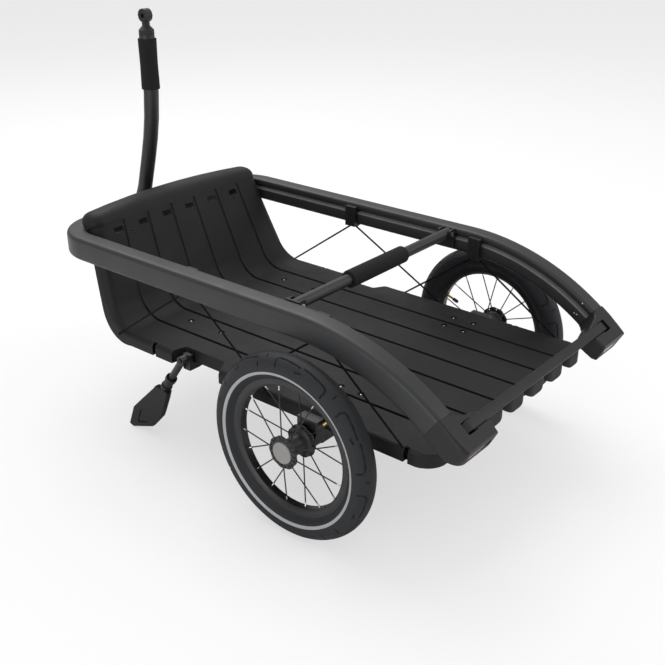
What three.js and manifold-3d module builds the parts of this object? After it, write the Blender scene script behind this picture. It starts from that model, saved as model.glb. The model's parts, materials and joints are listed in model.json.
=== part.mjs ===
// Cargo bike trailer, in millimetres: +Z up, front towards -X, left side towards -Y
import * as THREE from 'three';
import { mergeVertices } from 'three/addons/utils/BufferGeometryUtils.js';
import Module from 'manifold-3d';

const wasm = await Module();
wasm.setup();

// Fits
const touchGap = 0.3;
const cutOverrun = 6;

// Wheels and hubs
const rimSeatRadius = 147;
const tyreHeight = 56;
const tyreRadius = rimSeatRadius + tyreHeight;
const tyreSectionRadius = 26.9;
const trackHalf = 374.2;
const rimFlangeRise = 8;
const rimFlangeRadius = rimSeatRadius + rimFlangeRise;
const rimFlangeHalfWidth = 13.5;
const rimSeatHalfWidth = 11.5;
const rimDepth = 13;
const rimInnerRadius = rimSeatRadius - rimDepth;
const rimInnerHalfWidth = 9;
const bandRise = 19.6;
const bandRadius = rimSeatRadius + bandRise;
const bandWidth = 7;
const bandThickness = 1;
const hubFlangeRadius = 36;
const hubFlangeThickness = 5;
const hubFlangeOffset = 28;
const hubBarrelRadius = 20;
const hubCupRadius = 27;
const hubBossWall = 3;
const hubInnerReach = 37.9;
const hubCupDepth = 6;
const hubHoleCircleRadius = 31;
const hubHoleRadius = 2.6;
const spokesPerFlange = 9;
const spokeRadius = 1.15;
const nippleRadius = 2.3;
const nippleLength = 11;
const nippleSeat = 1.3;
const bearingOuterRadius = 15;
const bearingBoreRadius = 8.8;
const bearingWidth = 9;
const axleRadius = 8.5;
const axleBoreRadius = 5;
const axleStub = 62;
const buttonRadius = 23.5;
const buttonThickness = 5;
const buttonChamfer = 1.2;
const buttonRodRadius = 4.4;
const buttonTravel = 3;
const valveRadius = 3;
const valveSunk = 3;
const valveLength = 34;
const valveCapRadius = 4.6;
const valveCapLength = 13;

// Top rail
const railHalfWidth = 22;
const railHalfHeight = 28;
const railCornerRadius = 9;
const railTyreGap = 17.3;
const railCentreY = trackHalf - tyreSectionRadius - railTyreGap - railHalfWidth;
const floorAboveAxle = 55;
const trayTopZ = tyreRadius + floorAboveAxle;
const railAboveFloor = 183;
const railCentreZ = trayTopZ + railAboveFloor;
const railFrontX = -797;
const railBendRadius = 100;
const railDropStartX = -35;
const railDropRadius = 558;
const railDropAngle = 36 * Math.PI / 180;
const slotMouthLow = 5;
const slotMouthHigh = 17;
const slotLipDepth = 3;
const slotUndercut = 3.5;
const slotDepth = 11;

// Rear caps, reflectors and crossbar
const capLength = 79.5;
const capRearHeight = 38;
const capFlatLength = 52;
const capLobeReach = 85;
const capLobeInnerY = railCentreY - capLobeReach;
const lobeCurveShare = 0.6;
const capLobeStart = 36;
const capLobeHeight = 45;
const capCornerRadius = 34;
const capEdgeRound = 5;
const crossbarWidth = 20.5;
const crossbarThickness = 9;
const crossbarStart = 27.6;
const crossbarProud = 2;
const crossbarRound = 1.5;
const crossbarLap = 18;
const crossbarEndY = railCentreY - crossbarLap;
const reflectorLength = 42;
const reflectorHeight = 15;
const reflectorThickness = 5;
const reflectorAside = 27;
const reflectorDrop = 1;
const reflectorCentreY = railCentreY - reflectorAside;

// Load tray
const trayWall = 4;
const trayPastRail = 3;
const trayHalfWidth = railCentreY + trayPastRail;
const trayEdgeRadius = 13;
const trayFlangeDepth = 31;
const floorBehindRail = 235;
const trayFloorEndX = railFrontX + floorBehindRail;
const trayBendRadius = 75;
const trayLean = 21 * Math.PI / 180;
const trayPanelLength = 187;
const trayLipRadius = 50;
const trayLipTurn = 106 * Math.PI / 180;
const panelTaper = 34;
const panelHalfWidth = trayHalfWidth - panelTaper;
const panelCornerRadius = 34;
const lipTaper = 23;
const lipHalfWidth = trayHalfWidth - lipTaper;
const lipCrown = 5;
const bendTaper = 10;
const bendHalfWidth = trayHalfWidth - bendTaper;
const plankCount = 7;
const plankPitch = 2 * bendHalfWidth / plankCount;
const grooveWidth = 9;
const grooveDepth = 4.5;
const tongueEndX = 303;
const tongueValleyX = 285;
const tongueCornerRadius = 17.5;
const trayOuterCornerRadius = 46;
const recessDepth = 39;
const frontTubeX = -400;
const standPivotBehind = 3;
const standPivotX = frontTubeX + standPivotBehind;
const recessAhead = 23;
const recessBehind = 127;
const recessFrontX = standPivotX - recessAhead;
const recessRearX = standPivotX + recessBehind;
const recessFrontSlope = 10;
const recessRearSlope = 20;
const edgeNotchWidth = 10;
const edgeNotchDepth = 12;
const screwHoleRadius = 4;
const panelSlotHeight = 11;
const panelSlotWidth = 19;
const panelSlotAside = 25;
const panelSlotTop = 14;
const panelScrewAside = 2;
const panelScrewY = 2 * plankPitch - panelScrewAside;
const panelScrewTop = 34;
const bendEdgeRadius = 20;
const lipEdgeRadius = 27;
const lipBow = 12;
const tongueNotch = 4;
const stripLap = 1;
const grooveNarrowShare = 0.9;
const underGrooveShare = 1.6;
const trayReachShare = 1.2;
const notchShares = [0.095, 0.405, 0.771, 0.913];
const memberScrewShares = [0.068, 0.252];
const saddleScrewShares = [[0.069, 0.84], [0.828, 0.867], [0.138, 0.173], [0.883, 0.173]];

// Cross handle
const handleX = -75;
const handleRise = 15.5;
const handleZ = railCentreZ + handleRise;
const handleTubeRadius = 12.5;
const handlePinAside = 36;
const handlePinY = railCentreY - handlePinAside;
const handlePinRadius = 4;
const gripRadius = 19.5;
const gripNearY = -104;
const gripFarY = 92;
const gripRound = 3;
const bracketThickness = 6;
const bracketLength = 36;
const cheekThickness = 4;
const tubeWall = 1.8;
const pinHeadRadius = 6;
const pinHeadThickness = 2;

// Cords and clips
const cordRadius = 1.9;
const clipLength = 30;
const clipWidth = 13;
const clipRibCount = 5;
const clipRibDepth = 1.2;
const clipFootThickness = 2.5;
const clipLugDrop = 3;
const clipLugWidth = 6;
const cordTuckAside = 15;
const cordTuckY = trayHalfWidth - cordTuckAside;
const cordTuckDrop = 18;
const cordTuckZ = trayTopZ - cordTuckDrop;
const loopWireRadius = 1.6;
const loopHalfWidth = 9;
const frontLoopX = -368.6;
const rearLoopX = 0.5;
const loopDrop = 33.5;
const cordBendDrop = 12;
const cordBendZ = trayTopZ - cordBendDrop;
const cordTuckRise = 10;
const cordEdgeDrop = 6;
const cordEdgeZ = trayTopZ - cordEdgeDrop;
const cordOuterOffset = 4.5;
const cordInnerOffset = 5;
const cordCrossX = 4;
const cordCrossY = 7;
const loopAside = 15;
const loopY = railCentreY - loopAside;
const cordHoleXs = [-605, -216, -113, 222];

// Underframe, receivers and stand
const beamHalf = 20;
const beamCorner = 5;
const memberAside = 143;
const memberY = trayHalfWidth - memberAside;
const memberHalfWidth = 15;
const memberHeight = 22;
const drawbarTubeBehind = 14;
const drawbarTubeX = trayFloorEndX + drawbarTubeBehind;
const memberLap = 3;
const memberFrontX = drawbarTubeX + memberLap;
const weldLap = 1;
const saddleAside = 53;
const saddleOuterY = trayHalfWidth - saddleAside;
const saddleRearShare = 1.5;
const receiverWidth = 32;
const receiverOuterY = trackHalf - hubInnerReach - touchGap;
const receiverInnerY = receiverOuterY - receiverWidth;
const receiverFrontX = -30;
const receiverRearX = 37;
const receiverRise = 19;
const receiverDrop = 25;
const receiverPostRise = 47;
const receiverTopZ = tyreRadius + receiverRise;
const receiverBottomZ = tyreRadius - receiverDrop;
const receiverPostZ = tyreRadius + receiverPostRise;
const standPivotDrop = 20;
const standPivotZ = trayTopZ - standPivotDrop;
const standAside = 12;
const standLegY = trayHalfWidth - standAside;
const standLegRadius = 8.5;
const standLean = 35.5 * Math.PI / 180;
const standLegLength = 130;
const standCollarStart = 72;
const standEyeRadius = 11;
const standCollarRadius = 13.5;
const standCollarWaist = 2;
const standLugAhead = 2;
const standCollarLength = 42;
const standFootThickness = 27;
const standPinRadius = 4;
const standLugThickness = 12;
const footToeAhead = 200;
const footToeX = standPivotX - footToeAhead;
const footLength = 123;
const footBelowPivot = 91;
const footHeight = standPivotZ - footBelowPivot;
const footEdge = 4;

// Drawbar
const drawbarRadius = 19;
const drawbarPivotAhead = 46;
const drawbarPivotX = drawbarTubeX - drawbarPivotAhead;
const drawbarPivotDrop = 53;
const drawbarPivotZ = trayTopZ - drawbarPivotDrop;
const drawbarBehindRail = 12;
const drawbarTopX = railFrontX + drawbarBehindRail;
const drawbarTopZ = 880;
const drawbarPinRadius = 6;
const drawbarGripRadius = 22;
const drawbarGripFlare = 1;
const drawbarEyeWall = 2;
const drawbarGripLength = 120;
const knobRadius = 20;
const knobThickness = 16;
const knobEdge = 2;
const pinHeadShare = 1.6;
const knobLobes = 6;
const knobHollowShare = 0.2;
const gripBelowTop = 10;
const cheekOfDrawbar = 7;
const couplingLength = 60;
const couplingEyeRadius = 16;
const couplingEyeBore = 6;
const drawbarSteps = 12;
// Places along the bent tube, as shares of the way from its pivot to its top, back and up
const drawbarRouteShares = [
  [0, 0],
  [0.503, 0.095],
  [1.026, 0.193],
  [1.351, 0.259],
  [1.424, 0.311],
  [1.367, 0.363],
  [1.278, 0.424],
  [1.131, 0.572],
  [1.047, 0.671],
  [1, 0.793],
];

// Facets
const wheelFacets = 32;
const hubFacets = 16;
const boreFacets = 12;
const spokeFacets = 4;
const cordFacets = 6;
const smallHoleFacets = 6;
const tubeFacets = 12;
const roundSteps = 3;

// Finishes, read from the photo
const railGrey = { color: 0x2b2d31, roughness: 0.42, metalness: 0.55 };
const trayBlack = { color: 0x262624, roughness: 0.72, metalness: 0 };
const capBlack = { color: 0x1f2022, roughness: 0.5, metalness: 0 };
const foamBlack = { color: 0x202123, roughness: 0.85, metalness: 0 };
const rubberBlack = { color: 0x222326, roughness: 0.8, metalness: 0 };
const frameBlack = { color: 0x1b1b1d, roughness: 0.5, metalness: 0.4 };
const hubGrey = { color: 0x2a2b2d, roughness: 0.45, metalness: 0.5 };
const buttonGrey = { color: 0x8f8e8b, roughness: 0.5, metalness: 0.1 };
const steel = { color: 0xb9bbbd, roughness: 0.3, metalness: 0.9 };
const bandSilver = { color: 0xc9ccd0, roughness: 0.4, metalness: 0.2 };
const brass = { color: 0xa98a3c, roughness: 0.35, metalness: 0.9 };
const reflectorRed = { color: 0xc2343a, roughness: 0.25, metalness: 0 };
const cordBlack = { color: 0x161617, roughness: 0.85, metalness: 0 };

const trailer = new THREE.Group();

// Closed geometry: shared corners merged, folded triangles left out, faces turned out
function closed(geometry) {
  const bare = geometry.clone();
  bare.deleteAttribute('normal');
  bare.deleteAttribute('uv');
  const merged = mergeVertices(bare);
  const at = merged.attributes.position;
  const from = merged.index.array;
  const kept = [];
  const [a, b, c] = [new THREE.Vector3(), new THREE.Vector3(), new THREE.Vector3()];
  let volume = 0;
  for (let i = 0; i < from.length; i += 3) {
    const [p, q, r] = [from[i], from[i + 1], from[i + 2]];
    if (p === q || q === r || r === p) continue;
    kept.push(p, q, r);
    a.fromBufferAttribute(at, p);
    b.fromBufferAttribute(at, q);
    c.fromBufferAttribute(at, r);
    volume += a.dot(b.cross(c));
  }
  if (volume < 0) {
    kept.reverse();
  }
  const result = new THREE.BufferGeometry();
  result.setAttribute('position', at);
  result.setIndex(kept);
  return result;
}

function solidOf(geometry) {
  const clean = closed(geometry);
  return new wasm.Manifold(new wasm.Mesh({
    numProp: 3,
    vertProperties: clean.attributes.position.array,
    triVerts: Uint32Array.from(clean.index.array),
  }));
}

function geometryOf(solid) {
  const mesh = solid.getMesh();
  const geometry = new THREE.BufferGeometry();
  geometry.setAttribute('position', new THREE.BufferAttribute(mesh.vertProperties, 3));
  geometry.setIndex(new THREE.BufferAttribute(mesh.triVerts, 1));
  return geometry;
}

function cut(geometry, ...cutters) {
  return geometryOf(cutters.reduce((left, tool) => left.subtract(solidOf(tool)), solidOf(geometry)));
}

function join(geometry, ...others) {
  return geometryOf(others.reduce((whole, other) => whole.add(solidOf(other)), solidOf(geometry)));
}

function meet(geometry, other) {
  return geometryOf(solidOf(geometry).intersect(solidOf(other)));
}

function mirrored(geometry) {
  return closed(geometry.clone().scale(1, -1, 1));
}

function add(name, geometry, finish, parent = trailer) {
  const mesh = new THREE.Mesh(closed(geometry), new THREE.MeshStandardMaterial(finish));
  mesh.name = name;
  mesh.geometry.computeVertexNormals();
  parent.add(mesh);
  return mesh;
}

// One piece on the left and its mirror image on the right
function addPair(name, geometry, finish) {
  add(`${name}_left`, geometry, finish);
  add(`${name}_right`, mirrored(geometry), finish);
}

function box(xs, ys, zs) {
  const size = [xs, ys, zs].map(([low, high]) => high - low);
  const middle = [xs, ys, zs].map(([low, high]) => (low + high) / 2);
  return new THREE.BoxGeometry(...size).translate(...middle);
}

// Rod between two points
function rod(from, to, radius, facets = boreFacets) {
  const line = to.clone().sub(from);
  const geometry = new THREE.CylinderGeometry(radius, radius, line.length(), facets);
  geometry.translate(0, line.length() / 2, 0);
  const turn = new THREE.Quaternion().setFromUnitVectors(new THREE.Vector3(0, 1, 0), line.normalize());
  return geometry.applyQuaternion(turn).translate(from.x, from.y, from.z);
}

function rodY(x, z, y0, y1, radius, facets = boreFacets) {
  return rod(new THREE.Vector3(x, y0, z), new THREE.Vector3(x, y1, z), radius, facets);
}

function revolve(profile, facets) {
  return new THREE.LatheGeometry(profile.map(([r, y]) => new THREE.Vector2(r, y)), facets);
}

function revolveClosed(profile, facets) {
  return revolve([...profile, profile[0]], facets);
}

// Outline with round corners, given as [x, y, corner radius]
function roundedOutline(corners, steps = roundSteps) {
  const points = [];
  const count = corners.length;
  corners.forEach(([x, y, radius = 0], i) => {
    const here = new THREE.Vector2(x, y);
    if (radius === 0) {
      points.push(here);
      return;
    }
    const before = new THREE.Vector2(...corners[(i + count - 1) % count].slice(0, 2)).sub(here).normalize();
    const after = new THREE.Vector2(...corners[(i + 1) % count].slice(0, 2)).sub(here).normalize();
    const half = Math.acos(THREE.MathUtils.clamp(before.dot(after), -1, 1)) / 2;
    const reach = radius / Math.tan(half);
    const centre = before.clone().add(after).normalize().multiplyScalar(radius / Math.sin(half)).add(here);
    const first = before.clone().multiplyScalar(reach).add(here).sub(centre);
    const last = after.clone().multiplyScalar(reach).add(here).sub(centre);
    const turn = Math.atan2(first.x * last.y - first.y * last.x, first.dot(last));
    for (let k = 0; k <= steps; k += 1) {
      points.push(first.clone().rotateAround(new THREE.Vector2(), turn * k / steps).add(centre));
    }
  });
  return points;
}

// Flat outline pushed along +Z, with an optional round edge
function push(points, depth, edge = 0, edgeSteps = 2) {
  const shape = new THREE.Shape(points);
  return new THREE.ExtrudeGeometry(shape, {
    depth: depth - 2 * edge,
    bevelEnabled: edge > 0,
    bevelThickness: edge,
    bevelSize: edge,
    bevelOffset: -edge,
    bevelSegments: edgeSteps,
    curveSegments: roundSteps,
  }).translate(0, 0, edge);
}

// The XZ outline pushed along Y from y0 to y1
function pushY(points, y0, y1, edge = 0, edgeSteps = 2) {
  const [low, high] = [Math.min(y0, y1), Math.max(y0, y1)];
  return push(points, high - low, edge, edgeSteps).rotateX(Math.PI / 2).translate(0, high, 0);
}

// Loft through rings that all follow one flat outline
function loft(rings, outline) {
  const count = outline.length;
  const positions = rings.flat().flatMap((point) => point.toArray());
  const index = [];
  for (let i = 0; i + 1 < rings.length; i += 1) {
    for (let k = 0; k < count; k += 1) {
      const next = (k + 1) % count;
      const [a, b, c, d] = [i * count + k, i * count + next, (i + 1) * count + next, (i + 1) * count + k];
      index.push(a, b, c, a, c, d);
    }
  }
  const last = (rings.length - 1) * count;
  const backwards = THREE.ShapeUtils.isClockWise(outline);
  THREE.ShapeUtils.triangulateShape(outline, []).forEach((face) => {
    const [a, b, c] = backwards ? face.toReversed() : face;
    index.push(c, b, a, last + a, last + b, last + c);
  });
  const geometry = new THREE.BufferGeometry();
  geometry.setAttribute('position', new THREE.Float32BufferAttribute(positions, 3));
  geometry.setIndex(index);
  return closed(geometry);
}

// Round tube along a curve
function tube(curve, radius, steps, facets) {
  const ring = Array.from({ length: facets }, (_, k) => {
    const angle = 2 * Math.PI * k / facets;
    return new THREE.Vector2(radius * Math.cos(angle), radius * Math.sin(angle));
  });
  return new THREE.ExtrudeGeometry(new THREE.Shape(ring), { steps, extrudePath: curve, bevelEnabled: false });
}

// Wheels: drawn round the wheel's own centre with the outer side towards -Y
const tyreCentreRadius = tyreRadius - tyreSectionRadius;
const tyreFootRadius = rimFlangeRadius + touchGap;

function tyreHalfWidth(radius) {
  return Math.sqrt(tyreSectionRadius ** 2 - (radius - tyreCentreRadius) ** 2);
}

function tyreArc(fromRadius, toRadius, side, steps) {
  const angles = [fromRadius, toRadius].map((radius) => {
    return Math.asin(THREE.MathUtils.clamp((radius - tyreCentreRadius) / tyreSectionRadius, -1, 1));
  });
  return Array.from({ length: steps + 1 }, (_, k) => {
    const angle = THREE.MathUtils.lerp(angles[0], angles[1], k / steps);
    const across = side * tyreSectionRadius * Math.cos(angle);
    return [tyreCentreRadius + tyreSectionRadius * Math.sin(angle), across];
  });
}

const bandInner = bandRadius - bandWidth / 2;
const bandOuter = bandRadius + bandWidth / 2;
const bandSeatInner = bandInner - touchGap;
const bandSeatOuter = bandOuter + touchGap;
const bandProud = touchGap;
const bandSeatDepth = bandThickness - bandProud + touchGap;
const beadHalfWidth = rimSeatHalfWidth - touchGap;
const beadRadius = rimSeatRadius + touchGap;
const tyreProfile = [
  [beadRadius, -beadHalfWidth],
  [tyreFootRadius, -beadHalfWidth],
  ...tyreArc(tyreFootRadius, bandSeatInner, -1, 1),
  [bandSeatInner, -tyreHalfWidth(bandSeatInner) + bandSeatDepth],
  [bandSeatOuter, -tyreHalfWidth(bandSeatOuter) + bandSeatDepth],
  ...tyreArc(bandSeatOuter, tyreRadius, -1, 3),
  ...tyreArc(tyreRadius, tyreFootRadius, 1, 5).slice(1),
  [tyreFootRadius, beadHalfWidth],
  [beadRadius, beadHalfWidth],
];
const tyre = revolveClosed(tyreProfile, wheelFacets);
const band = revolveClosed([
  [bandInner, -tyreHalfWidth(bandInner) - bandProud],
  [bandOuter, -tyreHalfWidth(bandOuter) - bandProud],
  [bandOuter, -tyreHalfWidth(bandOuter) - bandProud + bandThickness],
  [bandInner, -tyreHalfWidth(bandInner) - bandProud + bandThickness],
], wheelFacets);

const rimSide = [
  [rimInnerRadius, rimInnerHalfWidth],
  [(rimInnerRadius + rimSeatRadius) / 2, rimFlangeHalfWidth],
  [rimFlangeRadius, rimFlangeHalfWidth],
  [rimFlangeRadius, rimSeatHalfWidth],
  [rimSeatRadius, rimSeatHalfWidth],
];
const valveDrop = new THREE.Vector3(0, 0, -1);
const rimBody = revolveClosed([
  ...rimSide.map(([r, y]) => [r, -y]),
  ...rimSide.toReversed(),
], wheelFacets);
const valveHole = rod(
  valveDrop.clone().multiplyScalar(rimSeatRadius + cutOverrun),
  valveDrop.clone().multiplyScalar(rimInnerRadius - cutOverrun),
  valveRadius + touchGap,
);
const valveTop = rimSeatRadius - valveSunk;
const valveEnd = rimInnerRadius - valveLength;
const valve = revolve([
  [0, -valveTop],
  [valveRadius, -valveTop],
  [valveRadius, -valveEnd - valveCapLength],
  [valveCapRadius, -valveEnd - valveCapLength],
  [valveCapRadius, -valveEnd],
  [0, -valveEnd],
], boreFacets).rotateX(Math.PI / 2);

// Hub: two flanges, a cup round the release button, a barrel and the bearing bore
const flangeOut = hubFlangeOffset + hubFlangeThickness / 2;
const flangeIn = hubFlangeOffset - hubFlangeThickness / 2;
const cupBore = buttonRadius + 3 * touchGap;
const hubBore = bearingOuterRadius + touchGap;
const hubInnerEnd = hubInnerReach;
const hubBossRadius = hubBore + hubBossWall;
const hubBody = revolveClosed([
  [cupBore, -flangeOut],
  [hubFlangeRadius, -flangeOut],
  [hubFlangeRadius, -flangeIn],
  [hubCupRadius, -flangeIn],
  [hubCupRadius, -flangeIn + hubCupDepth],
  [hubBarrelRadius, -flangeIn + 2 * hubCupDepth],
  [hubBarrelRadius, flangeIn],
  [hubFlangeRadius, flangeIn],
  [hubFlangeRadius, flangeOut],
  [hubBossRadius, flangeOut],
  [hubBossRadius, hubInnerEnd],
  [hubBore, hubInnerEnd],
  [hubBore, -flangeOut + hubCupDepth],
  [cupBore, -flangeOut + hubCupDepth],
], hubFacets);

function around(angle, radius, y) {
  return new THREE.Vector3(radius * Math.cos(angle), y, radius * Math.sin(angle));
}

const spokeStep = 2 * Math.PI / spokesPerFlange;
const spokePhase = 23 * Math.PI / 180;
const rimHoleOffset = 2.5;
const spokes = [];
const flangeHoles = [];
for (let k = 0; k < spokesPerFlange; k += 1) {
  [-1, 1].forEach((side) => {
    const angle = spokePhase + spokeStep * (k + (side > 0 ? 1 / 2 : 0));
    const root = around(angle, hubHoleCircleRadius, side * hubFlangeOffset);
    const tip = around(angle, rimInnerRadius - touchGap, side * rimHoleOffset);
    const length = tip.distanceTo(root);
    const shaft = revolve([
      [0, 0],
      [spokeRadius, 0],
      [spokeRadius, length - nippleLength],
      [nippleRadius, length - nippleLength],
      [nippleRadius, length - nippleSeat],
      [0, length - nippleSeat],
    ], spokeFacets);
    const aim = tip.sub(root).normalize();
    const turn = new THREE.Quaternion().setFromUnitVectors(new THREE.Vector3(0, 1, 0), aim);
    spokes.push(shaft.applyQuaternion(turn).translate(root.x, root.y, root.z));
    const between = around(angle + spokeStep / 2, hubHoleCircleRadius, 0);
    if (side < 0) {
      const holeEnds = [-flangeOut - cutOverrun, -flangeIn + cutOverrun / 3];
      flangeHoles.push(rodY(between.x, between.z, ...holeEnds, hubHoleRadius, spokeFacets));
    }
  });
}
const hub = join(cut(hubBody, ...flangeHoles), ...spokes);

function bearing(outerEnd) {
  const bore = bearingBoreRadius;
  return revolveClosed([
    [bore, outerEnd],
    [bearingOuterRadius, outerEnd],
    [bearingOuterRadius, outerEnd + bearingWidth],
    [bore, outerEnd + bearingWidth],
  ], boreFacets);
}

const outerBearing = bearing(-flangeOut + hubCupDepth);
const innerBearing = bearing(hubInnerEnd - bearingWidth);

const buttonFace = -flangeOut - buttonTravel - touchGap;
const axleOuterEnd = buttonFace + buttonThickness + buttonTravel + touchGap;
const axleInnerEnd = axleOuterEnd + axleStub + trackHalf - receiverOuterY;
const axle = revolveClosed([
  [axleBoreRadius, axleOuterEnd],
  [axleRadius, axleOuterEnd],
  [axleRadius, axleInnerEnd],
  [axleBoreRadius, axleInnerEnd],
], boreFacets);
const button = revolve([
  [0, buttonFace],
  [buttonRadius - buttonChamfer, buttonFace],
  [buttonRadius, buttonFace + buttonChamfer],
  [buttonRadius, buttonFace + buttonThickness],
  [buttonRodRadius, buttonFace + buttonThickness],
  [buttonRodRadius, axleInnerEnd - buttonTravel],
  [0, axleInnerEnd - buttonTravel],
], hubFacets);

const valveAngle = { left: -135 * Math.PI / 180, right: 110 * Math.PI / 180 };
[-1, 1].forEach((side) => {
  const tag = side < 0 ? 'left' : 'right';
  const wheel = new THREE.Group();
  wheel.position.set(0, side * trackHalf, tyreRadius);
  trailer.add(wheel);
  const handed = (geometry) => (side < 0 ? geometry : mirrored(geometry));
  const turned = (geometry) => geometry.clone().rotateY(valveAngle[tag]);
  add(`tyre_${tag}`, handed(tyre), rubberBlack, wheel);
  add(`reflective_band_${tag}`, handed(band), bandSilver, wheel);
  add(`rim_${tag}`, handed(cut(rimBody, turned(valveHole))), frameBlack, wheel);
  add(`valve_${tag}`, handed(turned(valve)), brass, wheel);
  add(`wheel_hub_${tag}`, handed(hub), hubGrey, wheel);
  add(`hub_bearing_outer_${tag}`, handed(outerBearing), steel, wheel);
  add(`hub_bearing_inner_${tag}`, handed(innerBearing), steel, wheel);
  add(`wheel_axle_${tag}`, handed(axle), steel, wheel);
  add(`release_button_${tag}`, handed(button), buttonGrey, wheel);
});

// Top rail: the section faces inward with its slot and follows bends in plan, then a drop at the rear
const bandProudInside = 1;
const slotTopHigh = slotMouthHigh + slotUndercut;
const slotTopLow = slotMouthLow - slotUndercut;
const inner = -railHalfWidth;
const railSection = [
  ...roundedOutline([
    [inner, railHalfHeight, railCornerRadius],
    [inner, slotMouthHigh],
    [inner + slotLipDepth, slotMouthHigh],
    [inner + slotLipDepth, slotTopHigh],
    [inner + slotDepth, slotTopHigh],
    [inner + slotDepth, slotTopLow],
    [inner + slotLipDepth, slotTopLow],
    [inner + slotLipDepth, slotMouthLow],
    [inner - bandProudInside, slotMouthLow],
    [inner - bandProudInside, -railHalfHeight, railCornerRadius],
    [railHalfWidth, -railHalfHeight, railCornerRadius],
    [railHalfWidth, railHalfHeight, railCornerRadius],
  ], 2),
];
const railDropSteps = 6;
const railBendSteps = 7;
const railDropEndX = railDropStartX + railDropRadius * Math.sin(railDropAngle);
const railDropEndZ = railCentreZ - railDropRadius * (1 - Math.cos(railDropAngle));

// Stations of one half from the drop's end to the middle of the front: place, outward way, up way
function railHalf(side) {
  const stations = [];
  for (let k = railDropSteps; k >= 0; k -= 1) {
    const angle = railDropAngle * k / railDropSteps;
    stations.push({
      at: new THREE.Vector3(
        railDropStartX + railDropRadius * Math.sin(angle),
        side * railCentreY,
        railCentreZ - railDropRadius * (1 - Math.cos(angle)),
      ),
      out: new THREE.Vector3(0, side, 0),
      up: new THREE.Vector3(Math.sin(angle), 0, Math.cos(angle)),
    });
  }
  const centreY = side * (railCentreY - railBendRadius);
  const centre = new THREE.Vector3(railFrontX + railBendRadius, centreY, railCentreZ);
  for (let k = 0; k <= railBendSteps; k += 1) {
    const angle = Math.PI / 2 * k / railBendSteps;
    const out = new THREE.Vector3(-Math.sin(angle), side * Math.cos(angle), 0);
    stations.push({
      at: out.clone().multiplyScalar(railBendRadius).add(centre),
      out,
      up: new THREE.Vector3(0, 0, 1),
    });
  }
  return stations;
}

const railStations = [...railHalf(-1), ...railHalf(1).toReversed()];
const railRings = railStations.map(({ at, out, up }) => railSection.map((point) => {
  return at.clone().addScaledVector(out, point.x).addScaledVector(up, point.y);
}));
add('top_rail', loft(railRings, railSection), railGrey);

// Rear end: drawn flat in the slope's own frame, s down the slope, n square to it, then laid on the slope
function onSlope(geometry) {
  return geometry.rotateY(railDropAngle).translate(railDropEndX, 0, railDropEndZ);
}

const lobeCurveReach = capLobeStart * lobeCurveShare;
const capOutline = new THREE.Shape();
capOutline.moveTo(touchGap, -railCentreY - railHalfWidth);
capOutline.lineTo(capLength - capCornerRadius, -railCentreY - railHalfWidth);
capOutline.quadraticCurveTo(
  capLength,
  -railCentreY - railHalfWidth,
  capLength,
  -railCentreY - railHalfWidth + capCornerRadius,
);
capOutline.lineTo(capLength, -capLobeInnerY - capEdgeRound);
capOutline.lineTo(capLength - capEdgeRound, -capLobeInnerY);
capOutline.lineTo(capLobeStart, -capLobeInnerY);
capOutline.bezierCurveTo(
  capLobeStart - lobeCurveReach,
  -capLobeInnerY,
  lobeCurveReach,
  -railCentreY + railHalfWidth,
  touchGap,
  -railCentreY + railHalfWidth,
);
const capBlock = new THREE.ExtrudeGeometry(capOutline, {
  depth: 2 * railHalfHeight - 2 * capEdgeRound,
  bevelEnabled: true,
  bevelThickness: capEdgeRound,
  bevelSize: capEdgeRound,
  bevelOffset: -capEdgeRound,
  bevelSegments: 2,
  curveSegments: 5,
}).translate(0, 0, -railHalfHeight + capEdgeRound);
const capTop = railHalfHeight;
const capSeamRound = pushRail(touchGap, 3 * capEdgeRound);

// Stub of the rail's own outline without its slot
function pushRail(s0, s1) {
  const outline = roundedOutline([
    [-railHalfHeight, -railCentreY - railHalfWidth, railCornerRadius],
    [railHalfHeight, -railCentreY - railHalfWidth, railCornerRadius],
    [railHalfHeight, -railCentreY + railHalfWidth, railCornerRadius],
    [-railHalfHeight, -railCentreY + railHalfWidth, railCornerRadius],
  ]);
  return push(outline, s1 - s0).rotateY(Math.PI / 2).translate(s0, 0, 0);
}

const capUnder = pushY([
  new THREE.Vector2(capFlatLength, -railHalfHeight - cutOverrun),
  new THREE.Vector2(capLength + cutOverrun, -railHalfHeight - cutOverrun),
  new THREE.Vector2(capLength + cutOverrun, capTop - capRearHeight),
  new THREE.Vector2(capLength, capTop - capRearHeight),
  new THREE.Vector2(capFlatLength, -railHalfHeight),
], -railCentreY - railHalfWidth - cutOverrun, -capLobeInnerY + cutOverrun);
const lobeUnder = box(
  [-cutOverrun, capLength + cutOverrun],
  [-railCentreY + railHalfWidth + capEdgeRound, -capLobeInnerY + cutOverrun],
  [-railHalfHeight - cutOverrun, capTop - capLobeHeight],
);
const crossbarTop = capTop + crossbarProud;
const crossbarPocket = box(
  [crossbarStart - touchGap, crossbarStart + crossbarWidth + touchGap],
  [-crossbarEndY - touchGap, -capLobeInnerY + cutOverrun],
  [crossbarTop - crossbarThickness - touchGap, capTop + cutOverrun],
);
const reflectorCentreN = capTop - capRearHeight / 2 - reflectorDrop;
const reflectorSeat = box(
  [capLength - reflectorThickness - touchGap, capLength + cutOverrun],
  [-reflectorCentreY - reflectorLength / 2 - touchGap, -reflectorCentreY + reflectorLength / 2 + touchGap],
  [reflectorCentreN - reflectorHeight / 2 - touchGap, reflectorCentreN + reflectorHeight / 2 + touchGap],
);
const capSocket = box(
  [capLength - 2 * reflectorThickness, capLength + cutOverrun],
  [-capLobeInnerY - reflectorHeight, -capLobeInnerY - reflectorHeight / 2],
  [reflectorCentreN - reflectorHeight / 3, reflectorCentreN + reflectorHeight / 3],
);
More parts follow.
